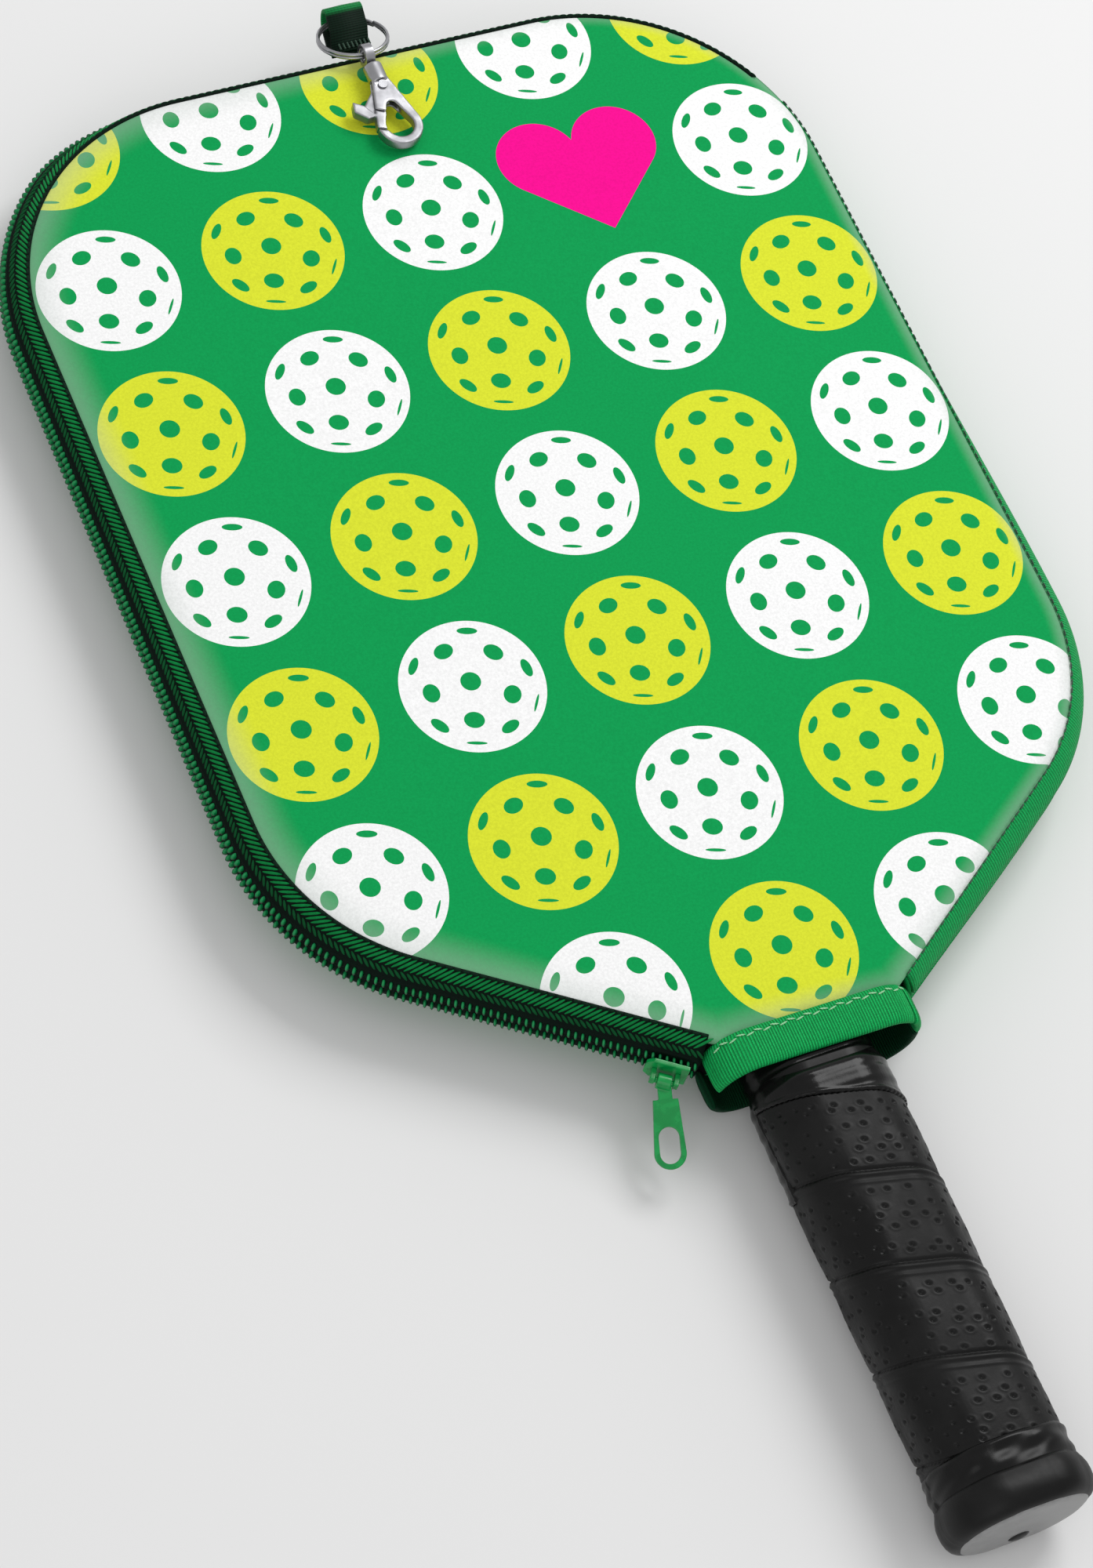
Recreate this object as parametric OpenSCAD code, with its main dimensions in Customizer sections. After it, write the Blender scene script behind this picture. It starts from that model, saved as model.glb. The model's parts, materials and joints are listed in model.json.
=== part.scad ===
// Zipped fabric paddle case, shown flat on its back with a paddle inside.
// +Z is up out of the front panel, +Y points from the neck to the hanging loop, +X is right.
// The origin is on the back face, under the middle of the panels.

/* [Case] */
// Width across the panels
case_w = 211; // [200:1:230]
// Thickness of the whole case
case_t = 22; // [22:0.5:26]
// Thickness of the padded panels
panel_t = 3; // [2.5:0.5:3]
// Top edge of the panels, from the origin
top_y = 138.5; // [130:0.5:150]
// Radius of the two upper corners
top_r = 57; // [50:1:62]
// Radius of the two lower corners
low_r = 54; // [48:1:58]
// Height of the lower corner centres, from the origin
low_y = -58.5; // [-64:0.1:-52]
// Slope of the shoulders below the horizontal, in degrees
shoulder_a = 34.5; // [32:0.5:37]
// Width of the neck where the shoulders end
neck_w = 46; // [44:1:50]

/* [Side walls] */
// Height of the zipper's middle above the back face
zip_z = 13; // [12:0.5:13.5]
// How far the zipper's coil stands out past the panels
zip_out = 4.1; // [3.5:0.1:5]
// How far the soft gusset bulges past the panels
gusset_bulge = 5.4; // [5:0.1:7]
// Thickness of the gusset
gusset_t = 2.2; // [2:0.1:2.5]
// Thickness of the zipper tapes and bindings
tape_t = 0.8; // [0.6:0.1:1]
// Height of one row of zipper coil
coil_h = 2.6; // [2.2:0.1:3]
// Depth of the zipper coil
coil_t = 2.4; // [2:0.1:2.8]
// Gap between the two rows of coil
coil_gap = 1.3; // [1.2:0.1:1.6]
// Angle on the upper right corner where the zipper ends
zip_end_a = 20; // [15:1:30]

/* [Neck] */
// Width of the neck band across the handle
band_w = 54; // [52:1:56]
// Length of the neck band along the handle
band_len = 10; // [8:0.5:12]
// How far the neck band stands past each face of the case
band_rise = 1.5; // [1:0.5:3]
// Thickness of the neck band
band_t = 2; // [1.5:0.1:2.4]

/* [Zipper slider] */
// Distance of the slider from the neck corner
slider_at = 10; // [9:1:20]
// Length of the slider
slider_len = 10; // [8:0.5:11]
// Droop of the pull tab below the level, in degrees
pull_droop = 25; // [0:1:30]
// Lean of the pull tab towards the neck, in degrees
pull_lean = 20; // [0:1:25]
// Length of the pull tab
pull_len = 20; // [18:0.5:24]
// Width of the pull tab
pull_w = 7.4; // [6:0.1:8]

/* [Loop and clasp] */
// Sideways place of the loop, ring and clasp
loop_x = 1.5; // [-5:0.5:5]
// Width of the webbing
web_w = 10.4; // [10:0.2:12.2]
// Thickness of the webbing
web_t = 1.2; // [0.9:0.1:1.4]
// Outer diameter of the split ring
ring_d = 19.5; // [19:0.1:20]
// Thickness of the ring's wire
wire_d = 1.8; // [1.6:0.1:1.8]
// Downward tilt of the clasp towards the panel, in degrees
clasp_tilt = 2; // [1:0.5:2]
// Thickness of the clasp's hook
hook_t = 3; // [2.8:0.1:3.2]

/* [Paddle] */
// Gap between the paddle and the panel outline
paddle_gap = 7; // [7:0.5:9]
// Sideways shift of the paddle in its case
paddle_x = -1.9; // [-2:0.1:2]
// Thickness of the paddle's core
core_t = 12.7; // [11:0.1:12.7]
// Thickness of each face sheet
sheet_t = 0.6; // [0.4:0.1:0.6]
// Width of the grip
grip_w = 33.4; // [32:0.1:35]
// Thickness of the grip
grip_t = 27; // [26:0.1:28]
// Thickness of the grip wrap
wrap_t = 1.8; // [1.2:0.1:2]
// Distance between turns of the grip wrap
wrap_pitch = 23.3; // [20:0.1:25]
// Far end of the handle, from the origin
butt_y = -268.5; // [-272:0.5:-262]

/* [Hidden] */
$fn = 64;

GREEN = [0.03, 0.53, 0.24];
DARK_GREEN = [0.01, 0.25, 0.11];
PANEL_GREEN = [0.04, 0.6, 0.3];
BLACK = [0.03, 0.03, 0.03];
METAL = [0.8, 0.8, 0.82];

half_w = case_w / 2;
mid_z = case_t / 2;
neck_x = neck_w / 2;
top_x = half_w - top_r;
low_x = half_w - low_r;
top_corner_y = top_y - top_r;
shoulder_n = shoulder_a - 90;                  // direction of the right shoulder's outward normal
shoulder_top = [low_x + low_r * cos(shoulder_n), low_y + low_r * sin(shoulder_n)];
shoulder_len = (shoulder_top.x - neck_x) / cos(shoulder_a);
neck_y = shoulder_top.y - shoulder_len * sin(shoulder_a);
fit = 0.1;                                     // gap between sewn pieces that touch
zip_gap = 3;                                   // the zipper stops this far short of the neck corner
gusset_gap = 4.4;                              // the gusset stops this far short of the other corner

// Fold line of the cover: from the right end of the neck to the point where the zipper ends
fold_end = [top_x + top_r * cos(zip_end_a), top_corner_y + top_r * sin(zip_end_a)];
fold_a = atan2(fold_end.y - neck_y, fold_end.x - neck_x);

// A block to the left (side = 1) or the right (side = -1) of the fold line, over the whole case
module beside_fold(side, gap = fit) {
    reach = 2 * case_w;
    shift = side > 0 ? gap : -reach - gap;
    translate([neck_x, neck_y, -case_t])
        rotate([0, 0, fold_a])
            translate([-reach, shift, 0])
                cube([2 * reach, reach, 3 * case_t]);
}

// Edge points are [x, y, direction of the outward normal], and every path runs clockwise
arc_step = 8;                                  // degrees between the edge points of a corner
function corner(centre, radius, from_a, to_a) =
    let (steps = ceil((from_a - to_a) / arc_step))
    [for (i = [0 : steps]) let (a = from_a + (to_a - from_a) * i / steps)
        [centre.x + radius * cos(a), centre.y + radius * sin(a), a]];

function straight(from, to, normal_a, steps) =
    [for (i = [1 : steps - 1]) let (at = from + (to - from) * i / steps) [at.x, at.y, normal_a]];

function shoulder_point(side, from_neck) =
    [side * (neck_x + from_neck * cos(shoulder_a)), neck_y + from_neck * sin(shoulder_a)];

// Right half of the panel's outline, from the top to the neck
function right_edge(inset) = concat(
    corner([top_x, top_corner_y], top_r - inset, 90, 0),
    corner([low_x, low_y], low_r - inset, 0, shoulder_n),
    [[neck_x - inset * tan(shoulder_a / 2), neck_y + inset, shoulder_n]]
);

module panel_outline(inset = 0) {
    right = right_edge(inset);
    left = [for (i = [len(right) - 1 : -1 : 0]) [-right[i].x, right[i].y]];
    polygon(concat([for (at = right) [at.x, at.y]], left));
}

left_start = shoulder_point(-1, zip_gap);
right_end = shoulder_point(1, gusset_gap);

// The zipped stretch: left shoulder, left side, top, and the upper right corner to an angle on it
function zip_path_to(end_a) = concat(
    [[left_start.x, left_start.y, 180 - shoulder_n]],
    corner([-low_x, low_y], low_r, 180 - shoulder_n, 180),
    corner([-top_x, top_corner_y], top_r, 180, 90),
    corner([top_x, top_corner_y], top_r, 90, end_a)
);
zip_path = zip_path_to(zip_end_a);
front_end_gap = 6;                             // degrees that the cover's half ends before the fold
front_zip_path = zip_path_to(zip_end_a + front_end_gap);

// The sewn stretch: rest of the upper right corner, right side, lower corner and shoulder
gusset_start_a = zip_end_a - 4;
gusset_path = concat(
    corner([top_x, top_corner_y], top_r, gusset_start_a, 0),
    straight([half_w, top_corner_y], [half_w, low_y], 0, 6),
    corner([low_x, low_y], low_r, 0, shoulder_n),
    straight(shoulder_top, right_end, shoulder_n, 4),
    [[right_end.x, right_end.y, shoulder_n]]
);

// Sweeps a wall profile along an edge path. A profile's points are [out past the panel, height],
// counterclockwise, and profile_at gives the profile at an edge point.
module sweep(path, profile_at) {
    rings = [for (at = path) [for (q = profile_at(at))
        [at.x + q.x * cos(at[2]), at.y + q.x * sin(at[2]), q.y]]];
    last = len(rings) - 1;
    size = len(rings[0]);
    sides = [for (i = [0 : last - 1], j = [0 : size - 1]) let (k = (j + 1) % size)
        [i * size + j, (i + 1) * size + j, (i + 1) * size + k, i * size + k]];
    start_cap = [for (j = [0 : size - 1]) j];
    end_cap = [for (j = [size - 1 : -1 : 0]) last * size + j];
    polyhedron([for (ring = rings) each ring], concat(sides, [start_cap, end_cap]), convexity = 6);
}

// Profile of a wall that bulges out by a distance, between two heights
wall_foot = 1.5;                               // the bulge starts this far inside each face
function wall_radius(bulge) = (pow(mid_z - wall_foot, 2) + bulge * bulge) / (2 * bulge);
function wall_angle(bulge, height) = asin((height - mid_z) / wall_radius(bulge));
function wall_arc(bulge, inset, from_z, to_z) =
    let (radius = wall_radius(bulge), from_a = wall_angle(bulge, from_z), to_a = wall_angle(bulge, to_z))
    let (steps = 5)
    [for (i = [0 : steps]) let (a = from_a + (to_a - from_a) * i / steps)
        [fit + bulge - radius + (radius - inset) * cos(a), mid_z + (radius - inset) * sin(a)]];
function wall_profile(bulge, from_inset, thick, low, high) = concat(
    wall_arc(bulge, from_inset, low, high),
    wall_arc(bulge, from_inset + thick, high, low)
);
function bar_profile(x, z, width, height) =
    [[x, z], [x + width, z], [x + width, z + height], [x, z + height]];

// Profile of a flat strip that leans between two heights, given the outer side at each of them
function strip_profile(low_x, low_z, high_x, high_z, thick) =
    [[low_x, low_z], [high_x, high_z], [high_x - thick, high_z], [low_x - thick, low_z]];

row_low = coil_gap / 2;                        // from the middle of the zip to a row's near side
row_high = row_low + coil_h;
seam_z = case_t - wall_foot;                   // height where a wall meets the front panel
tape_gap = 0.1;                                // the tape stops this far short of its coil
tape_x = zip_out - 0.2;                        // outer side of each tape at its coil
tape_slant_t = 1.2 * tape_t;                   // a leaning tape's thickness, measured level

module back_panel() {
    color(PANEL_GREEN)
        linear_extrude(panel_t)
            panel_outline();
}

module front_shape() {
    translate([0, 0, case_t - panel_t])
        linear_extrude(panel_t)
            panel_outline();
}

module front_panel() {
    color(PANEL_GREEN)
        intersection() {
            front_shape();
            beside_fold(1);
        }
}

module front_panel_fixed() {
    color(PANEL_GREEN)
        intersection() {
            front_shape();
            beside_fold(-1);
        }
}

binding_h = 5;
binding_end = 2.1;                             // the bindings stop this far from each face

// The gusset bulges most on the right side, and less towards the neck and the zip's end
function bulge_at(y) =
    let (from_neck = (y - neck_y) / 35, from_zip = (fold_end.y - y) / 45)
    zip_out + (gusset_bulge - zip_out) * max(0, min(1, from_neck, from_zip));

module side_gusset() {
    color(GREEN)
        sweep(gusset_path, function (at) wall_profile(bulge_at(at.y), tape_t, gusset_t,
            panel_t + fit, case_t - panel_t - fit));
}

module gusset_binding(low, high) {
    color(GREEN)
        sweep(gusset_path, function (at) wall_profile(bulge_at(at.y), 0, tape_t - 0.05, low, high));
}

module gusset_front_binding() {
    gusset_binding(case_t - binding_end - binding_h, case_t - binding_end);
}

module gusset_back_binding() {
    gusset_binding(binding_end, binding_end + binding_h);
}

module back_zipper_tape() {
    color(DARK_GREEN)
        sweep(zip_path, function (at) strip_profile(tape_t, panel_t + fit,
            tape_x, zip_z - row_high - tape_gap, tape_slant_t));
}

module front_zipper_tape() {
    color(GREEN)
        sweep(front_zip_path, function (at) strip_profile(tape_x, zip_z + row_high + tape_gap,
            fit + tape_slant_t, seam_z - 0.8, tape_slant_t));
}

// One row of coil, from its lower side up
module coil_row(path, low) {
    color(DARK_GREEN)
        sweep(path, function (at) bar_profile(zip_out - coil_t / 2, low, coil_t, coil_h));
}

module back_zipper_coil() {
    coil_row(zip_path, zip_z - row_high);
}

module front_zipper_coil() {
    coil_row(front_zip_path, zip_z + row_low);
}

// Narrow cord in the seam between the front panel and the zipper tape
module front_seam_piping() {
    cord_r = 0.6;
    sides = 8;
    color(DARK_GREEN)
        sweep(front_zip_path, function (at) [for (i = [0 : sides - 1]) let (a = 360 * (i + 0.5) / sides)
            [fit + cord_r + cord_r * cos(a), seam_z + cord_r * sin(a)]]);
}

module zipper_end_stop() {
    stop_path = corner([top_x, top_corner_y], top_r, zip_end_a - 1, gusset_start_a + 1);
    color(DARK_GREEN)
        sweep(stop_path, function (at) bar_profile(zip_out - coil_t / 2, zip_z - row_high, coil_t,
            2 * row_high));
}

// Neck band section, seen along the handle: an oval sleeve with flat top and bottom
module oval(width, height) {
    round_r = height / 2 - 1.5;
    square([width - 2 * round_r, height], center = true);
    square([width, height - 2 * round_r], center = true);
    for (x = [-1, 1], y = [-1, 1])
        translate([x * (width / 2 - round_r), y * (height / 2 - round_r)]) circle(round_r);
}

band_top_y = neck_y - 0.2;
band_h = case_t + 2 * band_rise;
band_open = 3;                                 // each band's free end stops this far from the middle
band_hinge = 2;                                // room for the front band's top edge when it turns

module band_ring() {
    translate([0, band_top_y, mid_z])
        rotate([90, 0, 0])
            linear_extrude(band_len)
                difference() {
                    oval(band_w, band_h);
                    oval(band_w - 2 * band_t, band_h - 2 * band_t);
                }
}

// The block of space that holds one end of the band
module band_space(low, high) {
    translate([-band_w, neck_y - band_len - 1, low])
        cube([2 * band_w, band_len + 1, high - low]);
}

module neck_band_front() {
    color(GREEN)
        intersection() {
            band_ring();
            band_space(mid_z + band_open, case_t + band_rise);
            beside_fold(1);
            translate([-band_w, -case_w, 0]) cube([band_w + neck_x - band_t, 2 * case_w, 2 * case_t]);
        }
}

module neck_band_back() {
    color(GREEN) {
        intersection() {
            band_ring();
            band_space(-band_rise, mid_z - band_open);
        }
        intersection() {
            band_ring();
            band_space(mid_z - band_open, case_t + band_rise);
            beside_fold(-1, band_hinge);
            translate([0, -case_w, 0]) cube([band_w, 2 * case_w, 2 * case_t]);
        }
    }
}

stitch_r = 0.35;
stitch_len = 2.4;

module neck_band_stitching() {
    count = 9;
    spacing = 3.4;
    color("palegreen")
        for (i = [0 : count - 1])
            translate([(i - (count - 1) / 2) * spacing - stitch_len / 2 - 1, band_top_y - 1.4,
                    case_t + band_rise + stitch_r + 0.02])
                rotate([0, 90, 0])
                    cylinder(h = stitch_len, r = stitch_r, $fn = 16);
}

// Webbing loop: an open fold beyond the top seam, with its two ends sewn together on the tape
ring_r = (ring_d - wire_d) / 2;                // to the middle of the wire
ring_pivot = [loop_x, top_y + 13.5, case_t - 3.5];
eye_z = case_t + 3.2;                          // height of the clasp's swivel eye
ring_a = asin((eye_z - ring_pivot.z) / (2 * ring_r));
loop_room = 4.9;                               // open height inside the fold
loop_roof = 3.8;                               // from the ring's pivot up to the fold's inside
loop_tip = ring_pivot.y + wire_d / 2 + 1;      // inside of the fold's far end
loop_z = ring_pivot.z + loop_roof - loop_room / 2;
loop_root = top_y + 2.7;                       // just clear of the tape
loop_sewn = 2.4;                               // length of the root, where the two layers are sewn flat
loop_spread = 2.2;                             // length over which the layers open out

// Side view of the fold: a flat root, layers that open out, and a round tip
function loop_side(start, root_h, open_h) =
    let (tip_y = loop_tip - loop_room / 2, spread_y = loop_root + loop_sewn + loop_spread)
    concat(
        [[start, loop_z - root_h], [loop_root + loop_sewn, loop_z - root_h], [spread_y, loop_z - open_h]],
        [for (a = [-90 : 15 : 90]) [tip_y + open_h * cos(a), loop_z + open_h * sin(a)]],
        [[spread_y, loop_z + open_h], [loop_root + loop_sewn, loop_z + root_h], [start, loop_z + root_h]]
    );

module hanging_loop() {
    color(DARK_GREEN)
        translate([loop_x - web_w / 2, 0, 0])
            rotate([90, 0, 90])
                linear_extrude(web_w)
                    difference() {
                        polygon(loop_side(loop_root, web_t, loop_room / 2 + web_t));
                        polygon(loop_side(loop_root + loop_sewn / 2, 0.05, loop_room / 2));
                    }
}

// Bar tack: thread bars side by side across the sewn root
module loop_stitching() {
    bars = 8;
    bar_r = 0.25;
    margin = 1.2;
    color(GREEN)
        for (i = [0 : bars - 1])
            translate([
                    loop_x - web_w / 2 + margin + i * (web_w - 2 * margin) / (bars - 1),
                    loop_root + 0.3,
                    loop_z + web_t + bar_r + 0.02
                ])
                rotate([-90, 0, 0])
                    cylinder(h = loop_sewn - 0.6, r = bar_r, $fn = 16);
}

module split_ring() {
    color(METAL)
        translate(ring_pivot)
            rotate([-ring_a, 0, 0])
                translate([0, -ring_r, 0])
                    rotate_extrude($fn = 96)
                        translate([ring_r, 0])
                            circle(wire_d / 2, $fn = 24);
}

// Zipper slider. In its frame X is out from the wall, Y is up and Z runs away from the neck.
module at_slider() {
    translate([-neck_x - slider_at * cos(shoulder_a), neck_y + slider_at * sin(shoulder_a), 0])
        rotate([90, 0, 180 - shoulder_n])
            translate([0, zip_z, 0])
                children();
}

slider_clear = 0.45;
plate_t = 1.1;
plate_h = 7.6;
outer_x = zip_out + coil_t / 2 + slider_clear; // inside face of the slider's outer plate
inner_x = zip_out - coil_t / 2 - slider_clear; // inside face of the slider's inner plate
bar_x = outer_x + plate_t + 2.4;               // axis of the bar that the pull tab hangs on
bar_r = 0.7;
bar_len = 5.6;

module slider_plate(x) {
    nose = 1.6;
    translate([x, 0, 0])
        rotate([0, 90, 0])
            linear_extrude(plate_t)
                polygon([
                    [-slider_len / 2, nose - plate_h / 2],
                    [nose - slider_len / 2, -plate_h / 2],
                    [slider_len / 2, -plate_h / 2],
                    [slider_len / 2, plate_h / 2],
                    [nose - slider_len / 2, plate_h / 2],
                    [-slider_len / 2, plate_h / 2 - nose]
                ]);
}

module slider_body() {
    post_h = coil_gap - 0.3;
    color(GREEN) {
        slider_plate(outer_x);
        slider_plate(inner_x - plate_t);
        translate([inner_x - 0.1, -post_h / 2, -slider_len / 2])
            cube([outer_x - inner_x + 0.2, post_h, slider_len * 0.3]);
    }
}

module slider_bridge() {
    foot_x = outer_x + plate_t + 0.02;
    foot_w = 2.2;
    foot_t = 1.2;
    color(GREEN) {
        translate([bar_x, 0, -bar_len / 2])
            cylinder(h = bar_len, r = bar_r);
        for (side = [-1, 1])
            translate([foot_x, -foot_w / 2, side * bar_len / 2 - foot_t / 2])
                cube([bar_x - foot_x + bar_r, foot_w, foot_t]);
    }
}

pull_eye_w = 3.2;

// Flat outline of the pull tab: a narrow neck, then a wide tab with a long hole near its round end
module pull_shape() {
    end_r = pull_w / 2;
    end_x = pull_len - end_r;
    hole_r = end_r - 1.3;
    hole_x = end_x - 3.6;
    shoulder_x = 4;
    shoulder_y = end_r - 0.8;
    difference() {
        union() {
            translate([end_x, 0]) circle(end_r);
            polygon([[shoulder_x, -shoulder_y], [end_x, -end_r], [end_x, end_r], [shoulder_x, shoulder_y]]);
            translate([0.8, -pull_eye_w / 2]) square([shoulder_x, pull_eye_w]);
        }
        translate([end_x, 0]) circle(hole_r);
        translate([hole_x, 0]) circle(hole_r);
        translate([hole_x, -hole_r]) square([end_x - hole_x, 2 * hole_r]);
    }
}

module pull_tab() {
    eye_r = 1.9;
    pull_t = 1.4;
    color(GREEN)
        translate([bar_x, 0, 0])
            rotate([0, 0, -pull_droop])
                difference() {
                    union() {
                        cylinder(h = pull_eye_w, r = eye_r, center = true);
                        rotate([90, 0, 0])
                            rotate([0, 0, -pull_lean])
                                linear_extrude(pull_t, center = true)
                                    pull_shape();
                    }
                    cylinder(h = 2 * pull_eye_w, r = bar_r + 0.08, center = true);
                }
}

// Swivel clasp. In its frame the eye's centre is the origin, -Y runs to the hook, Z is up.
eye_hole_r = 1.7;
eye_y = ring_pivot.y - 2 * ring_r * cos(ring_a);
barrel_y = -3.5;                               // end of the swivel barrel, next to the eye
barrel_r = 2.5;
barrel_len = 5.5;
stem_r = 0.9;
head_r = 1.5;                                  // the stem's head turns inside the barrel
head_y = barrel_y - 2.6;
head_len = 1;
pin_y = -10.4;                                 // gate pin
pin_r = 0.8;
hook_y = -22.6;                                // middle of the hook's round end
hook_r = 5.9;
hook_bore = 3.6;
hole_top_y = -16.6;                            // narrow end of the hook's teardrop hole
hole_top_r = 1.2;

module at_clasp() {
    translate([loop_x, eye_y, eye_z])
        rotate([clasp_tilt, 0, 0])
            children();
}

// A round bar along the clasp's axis, from one Y towards the hook
module clasp_bar(from_y, len, r) {
    translate([0, from_y, 0])
        rotate([90, 0, 0])
            cylinder(h = len, r = r);
}

module swivel_eye() {
    eye_r = 3;
    eye_t = 2.5;
    color(METAL)
        difference() {
            union() {
                rotate([0, 90, 0])
                    cylinder(h = eye_t, r = eye_r, center = true);
                clasp_bar(-2, -1.5 - head_y, stem_r);
                clasp_bar(head_y, head_len, head_r);
            }
            rotate([0, 90, 0])
                cylinder(h = 2 * eye_t, r = eye_hole_r, center = true);
        }
}

gate_root = 8;                                 // beyond this distance from the pin the gate is thick
gate_reach = 13.2;                             // gate's tip, from the pin
gate_web = 1.2;                                // thickness of the gate inside the hook's slot
gate_eye_r = 2;                                // round end of the gate's web, on the pin
gate_side = -1.2;                              // the gate lies left of this

// Outline round a small circle above a large one, both on the clasp's axis
function drop(top_y, top_r, low_y, low_r) =
    let (slope = asin((low_r - top_r) / (top_y - low_y)), steps = 12)
    concat(
        [for (i = [0 : steps]) let (a = slope + (180 - 2 * slope) * i / steps)
            [top_r * cos(a), top_y + top_r * sin(a)]],
        [for (i = [0 : 2 * steps]) let (a = 180 - slope + (180 + 2 * slope) * i / (2 * steps))
            [low_r * cos(a), low_y + low_r * sin(a)]]
    );

module hook_hole() {
    polygon(drop(hole_top_y, hole_top_r, hook_y, hook_bore));
}

module hook_shape() {
    difference() {
        polygon(drop(barrel_y - barrel_len - 0.5, barrel_r, hook_y, hook_r));
        hook_hole();
    }
}

// The left part of the hook between two distances from the pin
module gate_zone(near, far) {
    reach = 3 * hook_r;
    intersection() {
        translate([0, pin_y])
            difference() {
                circle(far);
                circle(near);
            }
        translate([gate_side - reach, pin_y - reach]) square(reach);
    }
}

module hook_frame() {
    play = 0.25;
    slot_past_pin = gate_eye_r + play;
    slot_h = gate_web + 2 * play;
    slot_len = gate_root - play + slot_past_pin;
    color(METAL)
        difference() {
            union() {
                linear_extrude(hook_t, center = true)
                    difference() {
                        hook_shape();
                        gate_zone(gate_root - play, gate_reach + play);
                    }
                clasp_bar(barrel_y, barrel_len, barrel_r);
            }
            clasp_bar(barrel_y + 0.1, barrel_y - head_y, stem_r + 0.15);
            clasp_bar(head_y + 0.2, head_len + 0.4, head_r + 0.15);
            translate([-hook_r, pin_y - slot_len + slot_past_pin, -slot_h / 2])
                cube([hook_r + slot_past_pin, slot_len, slot_h]);
            translate([0, pin_y, 0])
                cylinder(h = 2 * hook_t, r = pin_r, center = true);
        }
}

module gate_pin() {
    head_t = 0.5;
    color(METAL) {
        translate([0, pin_y, 0])
            cylinder(h = hook_t, r = pin_r - 0.01, center = true);
        translate([0, pin_y, hook_t / 2 + 0.01])
            cylinder(h = head_t, r = 1.5 * pin_r);
    }
}

// The spring's flat coil lies around the pin, between the gate's web and the slot's lower side
module gate_spring() {
    wire_r = 0.1;
    inner_r = 1.2;
    color(METAL)
        translate([0, pin_y, -gate_web / 2 - wire_r - 0.02])
            for (turn = [0 : 1])
                rotate_extrude($fn = 48)
                    translate([inner_r + 4 * wire_r * turn, 0])
                        circle(wire_r, $fn = 12);
}

// The gate: its tip closes the hook's opening, its web turns in the slot, and the thumb piece
// sticks out. Both outlines are measured from the pin.
module gate_lever() {
    thumb = [[-6.9, -4.6], [-9.4, -2.9], [-10, -5.9], [-7.2, -8.7], [-4.6, -8.4]];
    web = [[-1.6, 1], [1.4, -1.2], [-0.9, -8.6], [-7, -8], [-7.3, -5.2]];
    color(METAL)
        difference() {
            union() {
                linear_extrude(hook_t - 0.2, center = true) {
                    intersection() {
                        hook_shape();
                        gate_zone(gate_root, gate_reach);
                    }
                    difference() {
                        translate([0, pin_y]) polygon(thumb);
                        translate([0, pin_y]) circle(gate_root);
                        hook_hole();
                    }
                }
                linear_extrude(gate_web, center = true)
                    difference() {
                        translate([0, pin_y]) {
                            circle(gate_eye_r);
                            polygon(web);
                        }
                        hook_hole();
                    }
            }
            translate([0, pin_y, 0])
                cylinder(h = 2 * hook_t, r = pin_r + 0.05, center = true);
        }
}

// Paddle: a sandwich panel with an edge guard and an eight-sided handle
guard_w = 4;
guard_t = core_t + 2 * sheet_t + 0.9;
grip_start = neck_y - band_len - 8;
collar_start = neck_y - 0.5;
wrap_end = butt_y + 16;
throat_t = case_t - 2 * panel_t - 0.6;         // thickness of the handle where it enters the case
throat_y = neck_y + 9;                         // the head ends here and the throat starts

module paddle_head(inset) {
    translate([paddle_x, 0])
        difference() {
            panel_outline(paddle_gap + inset);
            translate([-case_w, throat_y - case_w]) square([2 * case_w, case_w]);
        }
}

module paddle_slab(z, thick) {
    translate([0, 0, z])
        linear_extrude(thick)
            paddle_head(guard_w / 2);
}

module paddle_core() {
    color("white")
        paddle_slab(mid_z - core_t / 2, core_t);
}

module paddle_front_sheet() {
    color("dimgray")
        paddle_slab(mid_z + core_t / 2 + 0.01, sheet_t);
}

module paddle_back_sheet() {
    color("dimgray")
        paddle_slab(mid_z - core_t / 2 - sheet_t - 0.01, sheet_t);
}

module edge_guard() {
    slab_t = core_t + 2 * sheet_t + 0.1;
    color(BLACK)
        translate([0, 0, mid_z])
            difference() {
                linear_extrude(guard_t, center = true)
                    paddle_head(0);
                linear_extrude(2 * guard_t, center = true)
                    paddle_head(guard_w);
                linear_extrude(slab_t, center = true)
                    paddle_head(guard_w / 2 - 0.05);
            }
}

// An eight-sided bar along the handle, from one Y to a lower one
module octagon_bar(width, thick, from_y, to_y) {
    bevel = 0.24 * thick;
    x = width / 2;
    z = thick / 2;
    translate([paddle_x, from_y, mid_z])
        rotate([90, 0, 0])
            linear_extrude(from_y - to_y)
                polygon([
                    [x, z - bevel], [x - bevel, z], [bevel - x, z], [-x, z - bevel],
                    [-x, bevel - z], [bevel - x, -z], [x - bevel, -z], [x, bevel - z]
                ]);
}

// The handle's core is thin in the throat, up to the paddle's head, and full below it
module core_shape(play) {
    core_w = grip_w - 2 * wrap_t;
    cap_depth = 8;
    octagon_bar(core_w - 2 + play, throat_t + play, throat_y - fit, grip_start - 1);
    octagon_bar(core_w + play, grip_t - 2 * wrap_t + play, grip_start, butt_y + cap_depth - play);
}

module handle_core() {
    color("tan")
        core_shape(-0.2);
}

module grip_wrap() {
    ridge = 0.25;
    ridge_len = 2;
    turns = floor((grip_start - wrap_end) / wrap_pitch);
    color(BLACK)
        difference() {
            union() {
                octagon_bar(grip_w - 2 * ridge, grip_t - 2 * ridge, grip_start, wrap_end);
                for (turn = [1 : turns])
                    octagon_bar(grip_w, grip_t, grip_start - turn * wrap_pitch + ridge_len,
                        grip_start - turn * wrap_pitch);
            }
            core_shape(0);
        }
}

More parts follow.
